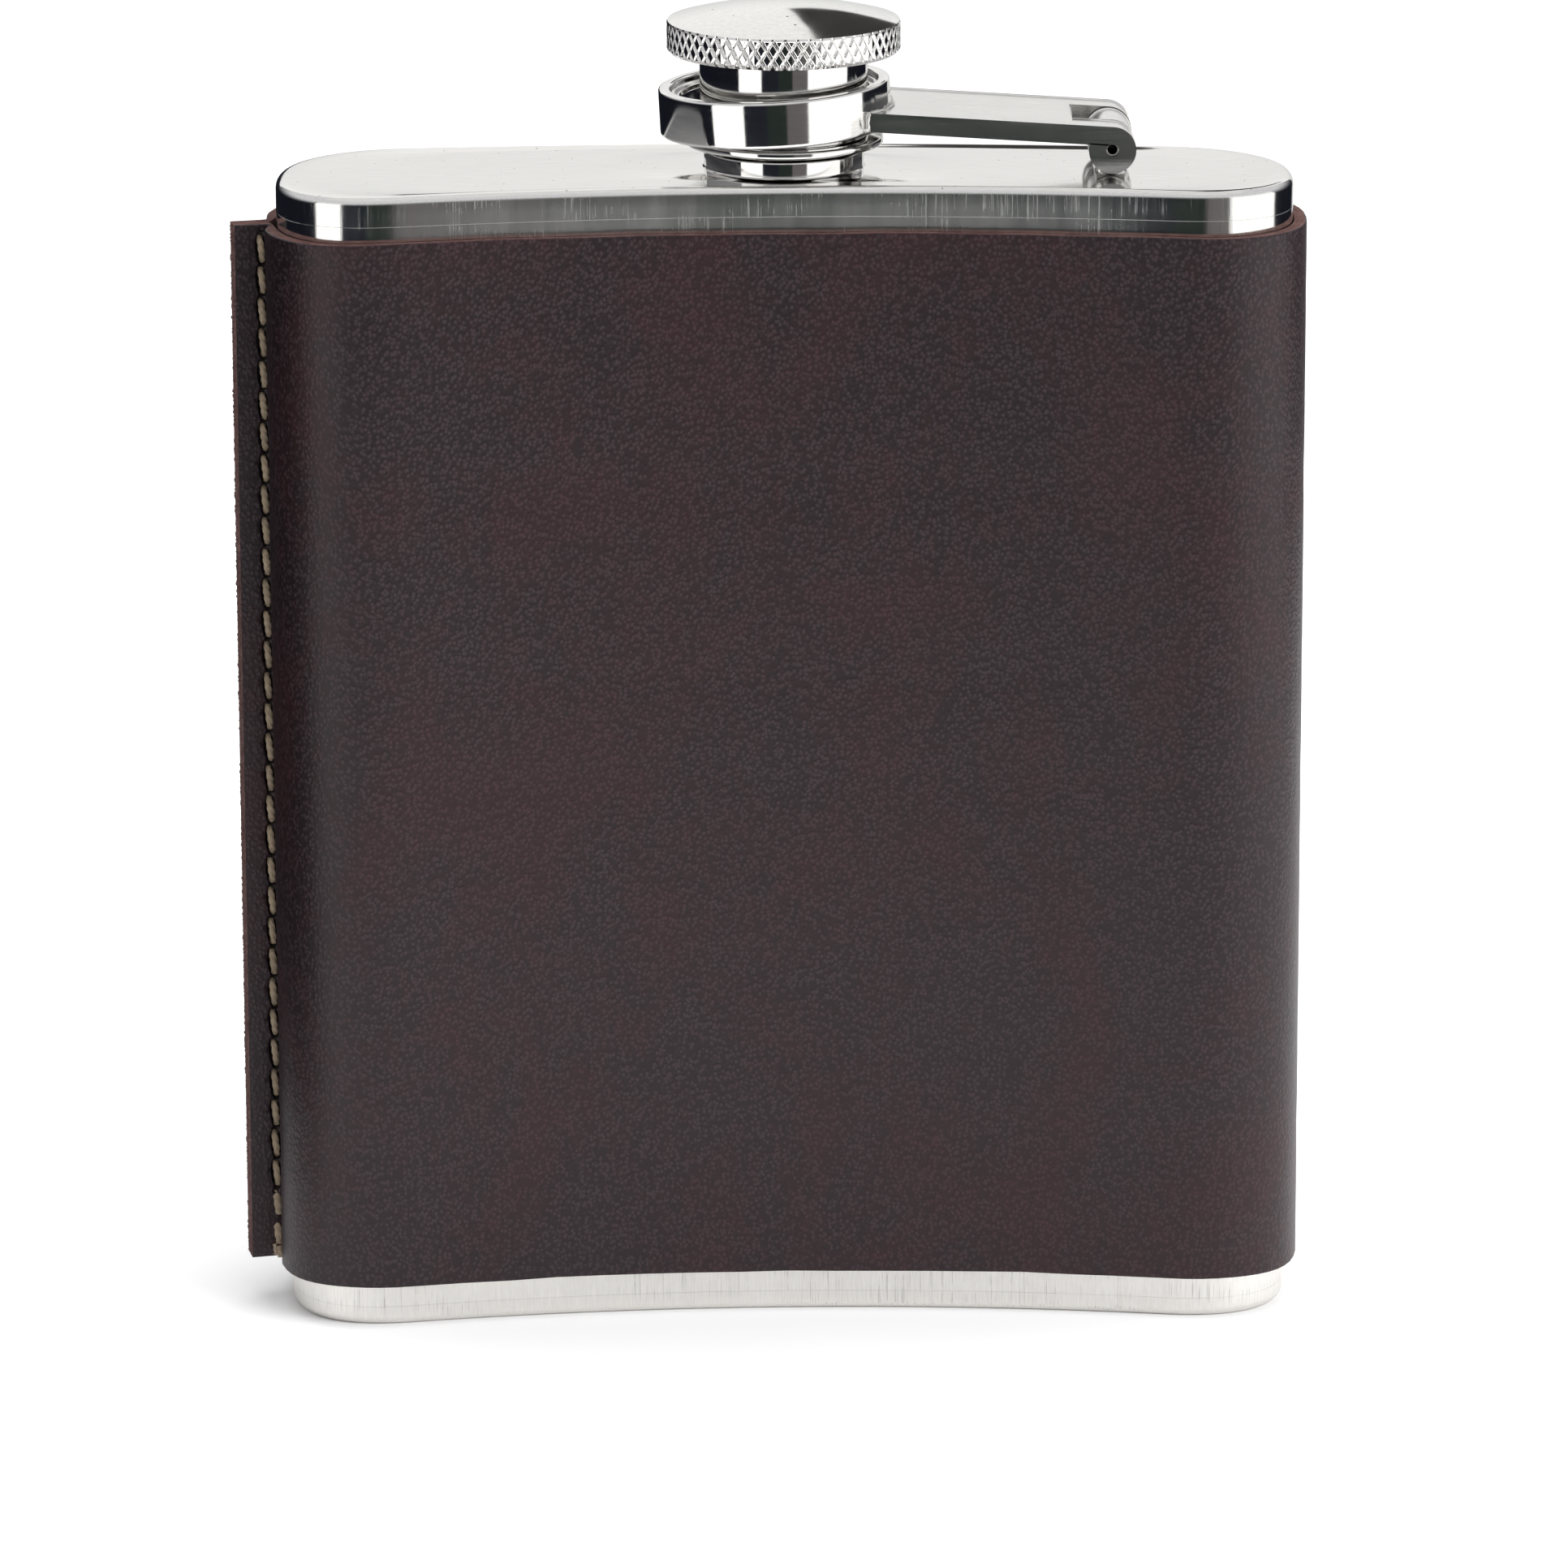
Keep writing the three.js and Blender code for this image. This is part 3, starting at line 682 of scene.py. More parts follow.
def fin_face(grow, side, from_middle):
    """One face of one layer, from where it leaves the lobe to the fin's cut edge."""
    angle = pi - side * FIN_LEAVES_LOBE
    nearby = angle + side * FIN_LEAVES_LOBE / 1000
    leave, ahead = (lobe(grow, at, at + 0.1, 1)[0] for at in (angle, nearby))
    heading = (ahead - leave) / norm(ahead - leave)
    root = fin_point(FIN_ROOT, side * from_middle)
    reach = norm(root - leave) / 2
    leaving = leave + heading * reach
    arriving = root - FIN_OUT * reach * FIN_SOFTNESS
    t = linspace(0, 1, 10, endpoint=False)[:, None]
    shares = ((1 - t) ** 3, 3 * t * (1 - t) ** 2, 3 * t**2 * (1 - t), t**3)
    curve = sum(share * point for share, point in zip(shares, (leave, leaving, arriving, root)))
    stitched = linspace(FIN_ROOT, 2 * STITCH_ALONG - FIN_ROOT, 16, endpoint=False)
    outside = linspace(2 * STITCH_ALONG - FIN_ROOT, FIN_END, 5)
    flat = fin_point(concatenate([stitched, outside]), side * from_middle)
    return np.vstack([curve, flat])


def wrap_path(grow, from_middle):
    """One face of the wrap, from the fin's front edge round the body to its rear edge."""
    quarter = pi / 2
    front = lobe(grow, pi + FIN_LEAVES_LOBE, 3 * quarter, 12)[1:]
    right = lobe(grow, -quarter, quarter, 26)
    rear = lobe(grow, quarter, pi - FIN_LEAVES_LOBE, 12)
    front_fin = fin_face(grow, -1, from_middle)[::-1]
    rear_fin = fin_face(grow, 1, from_middle)
    return np.vstack([front_fin, front, face(grow, -1, 16), right, face(grow, 1, 16), rear, rear_fin])


def outward_of(path):
    along_x, along_y = headings(path).T
    return column_stack([along_y, -along_x])


def stitch_phase(z):
    """How far a height is along its stitch, from 0 at the stitch's upper hole to 1 at its lower one."""
    return np.mod((STITCH_TOP - z) / STITCH_PITCH, 1.0)


def furrow_depth(along, z):
    """How far the pulled thread sinks the leather at a place on the fin: a steep furrow under every stitch,
    pinched between stitches, where only the awl's hole is left."""
    phase = stitch_phase(z)
    number = np.floor((STITCH_TOP - z) / STITCH_PITCH)
    tight = 0.5 + 0.5 * np.sin(number * 2.4 + 0.7)
    in_line = (z > STITCH_BOTTOM + LOOSE_STITCHES * STITCH_PITCH - 0.2) * (z < STITCH_TOP + 0.2)
    aside = np.abs(along - STITCH_ALONG - STITCH_SLANT * np.cos(pi * phase))
    half_width = 0.2 + 0.3 * np.sin(pi * phase) ** 0.6
    stretch = smooth(phase, 0.02, 0.13) * (1 - smooth(phase, 0.87, 0.98))
    furrow = 0.5 * stretch * (1 - smooth(aside, half_width * 0.75, half_width * 1.15))
    pinched = 0.45 * tight * (1 - stretch) * (1 - smooth(aside, 0.12, 0.3))
    return (furrow + pinched) * in_line


CUT_SHARES = linspace(0, 1, 6)


def cut_strip(random, edge, inside, fuzz):
    """Points from the grain side to the flesh side of a cut edge, with fibres standing up along fuzz."""
    share = CUT_SHARES[:, None]
    strip = edge[:, None, :] * (1 - share) + inside[:, None, :] * share
    height = random.uniform(-1, 1, strip.shape[:2])
    height[:, [0, -1]] = 0
    height[[0, -1], :] = 0
    return strip + height[..., None] * fuzz


def grain_side(outer, run, edge_low, edge_high):
    """Columns of points up the grain side, rounded over at both edges, and how deep each is sunk."""
    turn = np.array([0.0, 0.5, 0.85, 1.0]) * pi / 2
    inset, beyond = EDGE_ROUND * (1 - np.sin(turn)), EDGE_ROUND * np.cos(turn)
    share = linspace(0, 1, 600)[1:-1]
    flat = np.zeros(len(share))
    inset = concatenate([inset, flat, inset[::-1]])
    beyond = concatenate([-beyond, flat, beyond[::-1]])
    share = concatenate([np.zeros(4), share, np.ones(4)])
    flat_low, flat_high = edge_low + EDGE_ROUND, edge_high - EDGE_ROUND
    z = flat_low[:, None] * (1 - share) + flat_high[:, None] * share + beyond

    along, rearward = (outer - LOBE_TIP) @ FIN_OUT, (outer - LOBE_TIP) @ FIN_REARWARD
    on_fin = np.isclose(np.abs(rearward), LEATHER_GAP / 2 + LEATHER, atol=1e-3)
    sunk = furrow_depth(along[:, None], z) * on_fin[:, None]
    loose = 0.04 * (wobble(run, 23, 5)[:, None] + wobble(z, 31, 6))
    back = inset + sunk + np.maximum(loose, 0)
    xy = outer[:, None, :] - outward_of(outer)[:, None, :] * back[..., None]
    return concatenate([xy, z[..., None]], -1), sunk


def leather_sleeve():
    outer = wrap_path(LEATHER_GAP + LEATHER, LEATHER_GAP / 2 + LEATHER)
    inner = wrap_path(LEATHER_GAP, LEATHER_GAP / 2)
    run = distance_along(outer)
    edge_low = SLEEVE_LOW + 0.1 + 0.08 * wobble(run, 37, 3)
    edge_high = SLEEVE_HIGH - 0.1 - 0.08 * wobble(run, 41, 4)
    grain_face, sunk = grain_side(outer, run, edge_low, edge_high)
    random = default_rng(7)
    top_inside = column_stack([inner, edge_high - 0.05])
    low_inside = column_stack([inner, edge_low + 0.05])
    top_strip = cut_strip(random, grain_face[:, -1], top_inside, (0, 0, 0.06))
    low_strip = cut_strip(random, grain_face[:, 0], low_inside, (0, 0, 0.06))

    surface = Surface()
    surface.add_grid(np.swapaxes(grain_face, 0, 1), 0)
    # Faces sunk deeper than SUNK_ENOUGH take material 3, the painted shade of the slit walls.
    deep = np.maximum(sunk[:-1, :-1], sunk[1:, 1:]).T.ravel() > SUNK_ENOUGH
    surface.materials = [3 * int(wall) for wall in deep]
    surface.add_grid(np.swapaxes(top_strip, 0, 1), 1)
    surface.add_grid(np.swapaxes(low_strip, 0, 1)[::-1], 1)
    surface.add_grid([top_inside[1:-1], low_inside[1:-1]], 2)

    for end, beside, flip in ((0, 1, -1), (-1, -2, 1)):
        column = grain_face[end]
        height = np.interp(column[:, 2], column[[0, -1], 2], [low_inside[end, 2], top_inside[end, 2]])
        inside = column_stack([np.tile(inner[end], (len(column), 1)), height])
        strip = cut_strip(random, column, inside, (*(FIN_OUT * 0.14), 0))
        slope = 0.05 * wobble(column[:, 2], 9, 8 + end)[:, None] * np.sin(pi * CUT_SHARES)
        strip[..., :2] += slope[..., None] * FIN_OUT
        strip[0], strip[-1] = low_strip[end], top_strip[end]
        surface.add_grid(strip[:, ::flip], 1)
        neighbours = [low_inside[beside], top_inside[beside]]
        ring = np.vstack([inside[::-1], neighbours])
        surface.add(ring, [list(range(len(ring)))[::-flip]], 2)
    return surface.finish("leather_wrap", [leather, raw_edge, flesh, painted_slit_shade], sharp=60)


def fibre(surface, random, start, lean, spread):
    """One loose fibre that leaves the hide along lean and curls a little."""
    curl = random.normal(0, 1, 3) * spread
    t = linspace(0, 1, 6)[:, None]
    add_tube(surface, tube(start + lean * t + curl * t**2, 0.026 * (1.15 - t[:, 0]), sides=5))


def fibres():
    """Loose fibres along the cut edges of the hide."""
    surface = Surface()
    random = default_rng(11)
    layer = LEATHER + LEATHER_GAP / 2
    for _ in range(300):
        z = random.triangular(SLEEVE_LOW + 0.3, SLEEVE_LOW + 20, SLEEVE_HIGH - 0.3)
        start = np.array([*fin_point(FIN_END - 0.1, random.uniform(-layer, layer)), z])
        lean = np.array([*(FIN_OUT * random.uniform(0.08, 0.22)), random.normal(0, 0.25)])
        fibre(surface, random, start, lean, (0.03, 0.1, 0.18))
    edge = wrap_path(LEATHER_GAP + LEATHER / 2, LEATHER_GAP / 2 + LEATHER / 2)[8:-8]
    for z, down in ((SLEEVE_LOW + 0.2, -1), (SLEEVE_HIGH - 0.25, 1)):
        for place in edge[random.integers(0, len(edge), 90)]:
            start = np.array([*(place + random.uniform(-0.3, 0.3, 2)), z])
            lean = np.array([*random.normal(0, 0.07, 2), down * random.uniform(0.1, 0.24)])
            fibre(surface, random, start, lean, (0.07, 0.05, 0.03))
    return surface.finish("leather_fibres", [raw_edge], sharp=80)


def stitch_path(number, side, lifted=0.0):
    """One stitch, diving into the leather at both ends."""
    phase = linspace(0.03, 0.97, 27)
    rise = np.sin(pi * linspace(0, 1, 27)) ** 0.45
    over = -0.75 + (0.68 + lifted) * rise
    along = STITCH_ALONG + STITCH_SLANT * np.cos(pi * phase)
    z = STITCH_TOP - (number + phase) * STITCH_PITCH
    xy = fin_point(along, side * (LEATHER_GAP / 2 + LEATHER + over))
    return column_stack([xy, z]), rise


def sewing(name, side):
    """A row of twisted stitches on one face of the fin, ending in two loose ones and a snipped tail."""
    surface = Surface()
    random = default_rng(21 + side)
    face_way = np.array([*(FIN_REARWARD * side), 0])
    for number in range(STITCHES):
        loose = number >= STITCHES - LOOSE_STITCHES
        path, rise = stitch_path(number, side, 0.22 if loose else random.uniform(-0.1, 0.06))
        path[:, :2] += FIN_OUT * random.uniform(-0.05, 0.05) * rise[:, None]
        radius = (0.2 + (0.16 if loose else 0.12) * rise) * random.uniform(0.93, 1.05)
        twist = random.uniform(2.1, 2.8)
        add_tube(surface, tube(path, radius, 20, twist_length=twist, flatten=0.55, side_way=face_way))
    tail_z = linspace(STITCH_BOTTOM + 0.35, SLEEVE_LOW + 0.08, 14)
    tail_face = side * (LEATHER + LEATHER_GAP / 2 + 0.12)
    tail_along = linspace(STITCH_ALONG - 0.05, STITCH_ALONG - 0.2, 14)
    tail = column_stack([fin_point(tail_along, tail_face), tail_z])
    add_tube(surface, tube(tail, 0.3, 18, 2.0, flatten=0.55, side_way=face_way, lumps=0.08, seed=22))
    snipped = tail[::3] + (*(FIN_OUT * 0.4), 0.2)
    add_tube(surface, tube(snipped, 0.2, 14, 1.5, flatten=0.6, side_way=face_way, lumps=0.2, seed=23))
    for _ in range(16):
        start = np.array([*fin_point(STITCH_ALONG + random.uniform(-0.3, 0.5), tail_face), STITCH_BOTTOM])
        start[2] -= random.uniform(0, 0.6)
        lean = np.array([*(FIN_OUT * random.uniform(-0.3, 0.5)), random.uniform(-0.25, 0.3)])
        lean[:2] += FIN_REARWARD * side * random.uniform(0.03, 0.16)
        fibre(surface, random, start, lean, (0.12, 0.05, 0.1))
    return surface.finish(name, [thread], sharp=80)


# ---- Neck and cap


def screw_ripple(root, ridge, start, end):
    """A right-handed thread on the wall of radius root, between two heights, running out smoothly at both."""

    def ripple(angle, radius, z):
        wave = (1 + np.cos(2 * pi * z / SCREW_PITCH - angle)) / 2
        runout = smooth(z, start, start + 0.7) * (1 - smooth(z, end - 0.7, end))
        return radius + ridge * wave**1.4 * runout * (np.abs(radius - root) < 0.01)

    return ripple


def neck():
    screw = [(NECK_ROOT, z, 0) for z in linspace(*NECK_SCREW, 64)]
    corners = [(NECK_BORE, -NECK_DEPTH, 0.1), (NECK_SPIGOT, -NECK_DEPTH, 0.1), (NECK_SPIGOT, 0, 0)]
    corners += [(NECK_COLLAR + 0.12, 0, 0), (NECK_COLLAR, 0.14, 0.08)]
    corners += [(NECK_COLLAR, NECK_COLLAR_HEIGHT, 0.22), (NECK_ROOT, NECK_COLLAR_HEIGHT, 0.12), *screw]
    corners += [(NECK_ROOT, NECK_HEIGHT, 0.3), (NECK_BORE, NECK_HEIGHT, 0.3)]
    profile = softened(corners, closed=True)
    ripple = screw_ripple(NECK_ROOT, NECK_RIDGE, *NECK_SCREW)
    return turned("neck_spout", profile, [turned_steel], 160, closed=True, ripple=ripple, moved=lift(TOP))


def knurl(angle, radius, z):
    """Two families of narrow slanting grooves, one cut deeper, that leave diamonds on the knob's rim."""
    turn = (z - KNOB_LOW) * tan(KNURL_SLOPE) / KNOB_RADIUS
    spacing = 2 * pi * KNOB_RADIUS / KNURL_LINES
    cut = 0
    for way, half_width, depth in KNURL_GROOVES:
        phase = (angle + way * turn) * KNURL_LINES / (2 * pi)
        from_line = np.abs(np.mod(phase, 1.0) - 0.5) * spacing
        groove = depth * (1 - smooth(from_line, 0.0, half_width))
        cut = np.maximum(cut, groove + KNURL_DOME * (1 - from_line / spacing))
    band = smooth(z, KNOB_LOW + 0.16, KNOB_LOW + 0.4)
    band = band * (1 - smooth(z, KNOB_RIM_HIGH - 0.36, KNOB_RIM_HIGH - 0.14))
    return radius - cut * band * (radius > KNOB_RADIUS - KNOB_CHAMFER)


def cap_knob():
    socket, inside = SKIRT_OUTER + 0.1, SKIRT_HIGH + 0.1
    rim = [(KNOB_RADIUS, z) for z in linspace(KNOB_LOW + 0.3, KNOB_RIM_HIGH - 0.25, 34)]
    below = [(0, inside, 0), (socket, inside, 0.1), (socket, KNOB_LOW, 0.1), (KNOB_RADIUS - 0.3, KNOB_LOW, 0)]
    outward = linspace(1, 0, 15)
    dome_edge = KNOB_RADIUS - 0.32
    rise = (KNOB_TOP - KNOB_RIM_HIGH) * (1 - outward**2)
    dome = column_stack([dome_edge * outward, KNOB_RIM_HIGH + rise])
    profile = np.vstack([softened(below), rim, [(KNOB_RADIUS - 0.1, KNOB_RIM_HIGH - 0.06)], dome])
    surface = Surface()
    surface.add_grid(around(profile, KNURL_LINES * 20, knurl), wrap_columns=True)
    piece = surface.finish("knurled_cap", [turned_steel, dome_steel], sharp=32, moved=lift(TOP))
    dome_foot = (TOP + KNOB_RIM_HIGH - 0.2) * MM
    return painted(piece, lambda polygon: polygon.normal.z > 0.9 and polygon.center.z > dome_foot)


def cap_skirt():
    """The cap's threaded skirt, with the washer's groove and the web that backs the seal."""
    play = 0.05
    screw = [(SKIRT_BORE, z, 0) for z in linspace(*SKIRT_SCREW, 48)[::-1]]
    corners = [(0, SKIRT_WEB_LOW, 0), (SKIRT_BORE, SKIRT_WEB_LOW, 0.1), *screw, (SKIRT_BORE, SKIRT_LOW, 0.15)]
    corners += [(SKIRT_OUTER, SKIRT_LOW, 0.15), (SKIRT_OUTER, WASHER[0] - play, 0.05)]
    corners += [(SNAP_GROOVE, WASHER[0] - play, 0), (SNAP_GROOVE, WASHER[1] + play, 0)]
    corners += [(SKIRT_OUTER, WASHER[1] + play, 0.1), (SKIRT_OUTER, SKIRT_HIGH, 0.1), (0, SKIRT_HIGH, 0)]
    ripple = screw_ripple(SKIRT_BORE, SKIRT_GROOVE, *SKIRT_SCREW)
    return turned("cap_skirt", softened(corners), [turned_steel], 160, ripple=ripple, moved=lift(TOP))


def cap_seal():
    """A thin disc, pressed into a ring by the neck's mouth."""
    bottom, top = GASKET
    pressed = bottom + 0.09
    corners = [(0, bottom, 0), (NECK_BORE - 0.5, bottom, 0.2), (NECK_BORE - 0.2, pressed, 0.15)]
    corners += [(NECK_ROOT, pressed, 0.15), (NECK_ROOT + 0.3, bottom, 0.15)]
    corners += [(GASKET_RADIUS, bottom, 0.15), (GASKET_RADIUS, top, 0.15), (0, top, 0)]
    return turned("cap_seal", softened(corners), [rubber], moved=lift(TOP))


def lip_washer():
    bottom, top = WASHER
    corners = [(WASHER_BORE, bottom, 0.08), (WASHER_RADIUS, bottom, 0.3)]
    corners += [(WASHER_RADIUS, top, 0.3), (WASHER_BORE, top, 0.08)]
    return turned("lip_washer", softened(corners, 5, True), [turned_steel], closed=True, moved=lift(TOP))


# ---- Captive ring, arm and hinge

RING_PLACE = lift(TOP + RING_LOW, RING_SHIFT) @ Matrix.Rotation(RING_TILT, 4, "Y")
HINGE_PLACE = lift(TOP + HINGE_HEIGHT, HINGE_X)
ARM_PLACE = HINGE_PLACE @ Matrix.Rotation(ARM_SLOPE, 4, "Y")


def loose_ring():
    flange_high = RING_FLANGE_LOW + RING_FLANGE_THICKNESS
    corners = [(RING_HOLLOW, 0, 0.15), (RING_OUTER, 0, 0.35), (RING_OUTER, RING_HEIGHT, 0.32)]
    corners += [(RING_INNER, RING_HEIGHT, 0.3), (RING_INNER, flange_high, 0.15)]
    corners += [(RING_FLANGE, flange_high, 0.1), (RING_FLANGE, RING_FLANGE_LOW, 0.1)]
    profile = softened(corners + [(RING_HOLLOW, RING_FLANGE_LOW, 0.15)], 5, True)
    return turned("loose_ring", profile, [turned_steel], 192, closed=True, moved=RING_PLACE)


def arm_outline():
    """The strip from the side, its end curled round the pin, with a thin gap where the curl closes."""
    underside = KNUCKLE_RADIUS - ARM_THICKNESS
    gap = 0.14
    closes = pi - asin((underside - gap) / KNUCKLE_RADIUS)
    inner_closes = pi - asin(min(1, (underside - gap) / PIN_HOLE))
    inner_under = pi - asin(underside / PIN_HOLE)
    outside = arc(KNUCKLE_RADIUS, pi / 2, closes - 2 * pi, 40)
    inside = arc(PIN_HOLE, inner_closes - 2 * pi, inner_under, 40)
    strip_end = [(-HINGE_X, underside), (-HINGE_X, KNUCKLE_RADIUS)]
    return np.vstack([outside, inside, strip_end])


def hinge_arm():
    arm = extruded(arm_outline(), ARM_WIDTH / 2).finish("hinge_arm", [strip_steel], moved=ARM_PLACE)
    reach, half, tall = NOTCH_REACH, NOTCH_WIDTH / 2, 2 * KNUCKLE_RADIUS
    box = extruded([(-reach, -tall), (reach, -tall), (reach, tall), (-reach, tall)], half)
    notch = box.finish("notch", [], moved=ARM_PLACE)
    radius, deep, high_up = RING_OUTER + 0.06, -RING_HEIGHT, 2 * RING_HEIGHT
    seat_profile = [(0, deep), (radius, deep), (radius, high_up), (0, high_up)]
    seat = turned("seat", np.array(seat_profile), [], moved=RING_PLACE)
    return eased(carved(arm, notch, seat), 0.14)


def braze():
    """A lumpy bead where the strip is brazed to the ring."""
    half = ARM_WIDTH / 2
    across = linspace(-half, half, 30)
    y = concatenate([across, np.full(5, half), across[::-1], np.full(5, -half)])
    upper = HINGE_HEIGHT + HINGE_X * sin(ARM_SLOPE) + KNUCKLE_RADIUS
    lower = upper - ARM_THICKNESS
    x = RING_SHIFT + np.sqrt(RING_OUTER**2 - y**2) + 0.05
    slope = -(x - RING_SHIFT) * tan(ARM_SLOPE)
    side = linspace(upper, lower, 5)
    z = concatenate([np.full(30, upper), side, np.full(30, lower), side[::-1]]) + slope + TOP
    path = column_stack([x, y, z])
    radius = 0.24 + 0.09 * default_rng(31).uniform(-1, 1, len(path))
    rows = tube(path, radius, 10, side_way=(0.93, 0.1, 0.3), lumps=0.12, seed=32)
    return looped("braze_bead", rows, braze_metal)


def hinge_tab():
    """The welded tab: the middle knuckle on a narrower foot."""
    foot = [(-POST_FOOT, -HINGE_HEIGHT - PLATE_DISH), (POST_FOOT, -HINGE_HEIGHT - PLATE_DISH)]
    meets_foot = acos(POST_FOOT / POST_RADIUS)
    tab_outline = np.vstack([foot, arc(POST_RADIUS, -meets_foot, pi + meets_foot, 44)])
    tab = extruded(tab_outline, POST_WIDTH / 2).finish("hinge_tab", [strip_steel], moved=HINGE_PLACE)
    bore = extruded(arc(PIN_HOLE, 0, 2 * pi, 33)[:-1], POST_WIDTH).finish("bore", [], moved=HINGE_PLACE)
    return eased(carved(tab, bore), 0.15)


def tab_weld():
    """The weld round the tab's foot."""
    half_x, half_y = POST_FOOT, POST_WIDTH / 2
    corners = [(half_x, half_y, 0.5), (-half_x, half_y, 0.5), (-half_x, -half_y, 0.5), (half_x, -half_y, 0.5)]
    ring = softened(corners, 6, True)
    path = column_stack([ring[:, 0] + HINGE_X, ring[:, 1], np.full(len(ring), TOP - 0.1)])
    radius = 0.34 + 0.02 * default_rng(41).uniform(-1, 1, len(path))
    return looped("tab_weld", tube(path, radius, 12, lumps=0.03, seed=42), strip_steel)


def hinge_rod():
    """The pin, with a peened mouth at each end, drilled, and with painted shade inside the drilled holes."""
    half, drilled, depth = PIN_LENGTH / 2, 0.46, 2.6
    mouth = [(0, half - depth - 0.2, 0), (drilled, half - depth, 0), (drilled, half, 0.08)]
    upper = softened(mouth + [(PIN_RADIUS, half, 0.12), (PIN_RADIUS, 0, 0)])
    lower = upper[::-1] * (1, -1)
    lying = HINGE_PLACE @ Matrix.Rotation(pi / 2, 4, "X")
    profile = np.vstack([lower[:-1], upper[::-1]])[::-1]
    rod = turned("hinge_rod", profile, [pin_steel, bore_painted_shade], 40, moved=lying)
    axis = HINGE_PLACE.translation
    # The faces inside the drilled holes take the painted shade.
    return painted(rod, lambda polygon: (polygon.center - axis).xz.length < drilled * MM)


# ---- Stage


STUDIO_RADIUS = 300
PANELS_FADE = (110, 300)
BACKDROP, SOFT_WHITE, BLACK_CLOTH = (1.06, 1.06, 1.05), (1.5, 1.5, 1.48), (0.008, 0.009, 0.014)
BLUE_BLACK, DARK_GREEN, GREY_CARD = (0.015, 0.017, 0.024), (0.021, 0.029, 0.025), (0.14, 0.13, 0.13)
OVERHEAD, GREY_CLOTH = (0.75, 0.75, 0.77), (0.045, 0.042, 0.04)
# Where each reflected panel ends, going round from behind on the left. Azimuth 0 is the camera's side.
STUDIO_PANELS = [(-150, BACKDROP), (-64, BLACK_CLOTH), (-31, SOFT_WHITE), (-8, BLUE_BLACK), (11, DARK_GREEN),
                 (32, GREY_CARD), (95, SOFT_WHITE), (150, BLACK_CLOTH), (180, BACKDROP)]


def studio_place(azimuth, radius, z):
    angle = np.radians(azimuth)
    return np.stack(np.broadcast_arrays(radius * np.sin(angle), -radius * np.cos(angle), z), -1)


def reflected(piece, light):
    """A piece of the stage that glows in the colours of its faces and is seen only in reflections."""
    attribute = piece.data.attributes.new("light", "FLOAT_COLOR", "FACE")
    colours = column_stack([light, np.ones(len(light))]).astype(np.float32)
    attribute.data.foreach_set("color", colours.ravel())
    material = bpy.data.materials.new(piece.name)
    material.use_nodes = True
    tree = material.node_tree
    tree.nodes.clear()
    colour = add_node(tree, "Attribute", {"attribute_name": "light"}).outputs["Color"]
    emission = add_node(tree, "Emission", Color=colour, Strength=1.0)
    plug(tree, add_node(tree, "OutputMaterial").inputs["Surface"], emission.outputs[0])
    piece.data.materials.append(material)
    for ray in ("camera", "diffuse", "shadow", "transmission", "volume_scatter"):
        setattr(piece, "visible_" + ray, False)


def studio_ring():
    """Soft boxes, cloths and cards round the table that fade upward into soft light, and a backdrop that
    darkens toward the table."""
    azimuth = linspace(-180, 180, 720, endpoint=False)
    height = linspace(2, 640, 60)
    surface = Surface()
    surface.add_grid(studio_place(azimuth, STUDIO_RADIUS, height[:, None]), wrap_columns=True)
    ring = surface.finish("studio_ring", [])
    middle = np.array([polygon.center for polygon in ring.data.polygons]) / MM
    where = np.degrees(np.arctan2(middle[:, 0], -middle[:, 1]))
    panel = np.searchsorted([end for end, _ in STUDIO_PANELS], where)
    light = np.array([colour for _, colour in STUDIO_PANELS])[np.minimum(panel, len(STUDIO_PANELS) - 1)]
    behind = (np.abs(where) > 150)[:, None]
    shade = 0.7 + 0.3 * smooth(middle[:, 2], 90, 230)[:, None]
    light = np.where(behind, light * shade, light)
    raised = np.where(behind, 0, smooth(middle[:, 2], *PANELS_FADE)[:, None])
    reflected(ring, light * (1 - raised) + np.array(OVERHEAD) * raised)


# Two cloths hang just inside the ring, as azimuths and heights, and one lies on the floor, as X and Y. The
# cap's dome reflects the first as a wedge, and the left end of the leather reflects the others.
BACK_FLAG = [(178.8, 217), (176.6, 207), (174.1, 203), (158, 210), (158, 640), (165, 640), (171, 430),
             (173.9, 370), (175.5, 324), (176.9, 290), (177.9, 250)]
LEFT_FLAG = [(-176, 2), (-148, 2), (-148, 150), (-166, 150), (-176, 100)]
FLOOR_CLOTH = [(-294, -110), (-92, -60), (-92, 60), (-140, 254), (-294, 254)]


def cloth(name, corners, light):
    surface = Surface()
    surface.add(corners, [list(range(len(corners)))])
    reflected(surface.finish(name, []), [light])


def hung(corners):
    return [studio_place(azimuth, STUDIO_RADIUS - 6, z) for azimuth, z in corners]


def floor():
    surface = Surface()
    half = 2500
    surface.add([(-half, -half, 0), (half, -half, 0), (half, half, 0), (-half, half, 0)], [[0, 1, 2, 3]])
    material, tree, shader = new_material("pale_floor")
    cloud = noise(tree, (40, 40, 40))
    plug(tree, shader.inputs["Base Color"], mixed(tree, cloud, (0.81, 0.81, 0.818), (0.83, 0.83, 0.835)))
    shader.inputs["Roughness"].default_value = 0.9
    shader.inputs["Specular IOR Level"].default_value = 0.0
    piece = surface.finish("floor", [material])


def soft_box(name, place, size, power):
    """A square area light that looks at the flask."""
    light = bpy.data.lights.new(name, "AREA")
    light.shape = "RECTANGLE"
    light.size, light.size_y = size
    light.energy = power
    lamp = placed(name, light)
    lamp.location = place
    lamp.rotation_mode = "QUATERNION"
    lamp.rotation_quaternion = (Vector((0, 0, 0.05)) - Vector(place)).to_track_quat("-Z", "Y")
    lamp.visible_camera = False
    lamp.visible_glossy = False


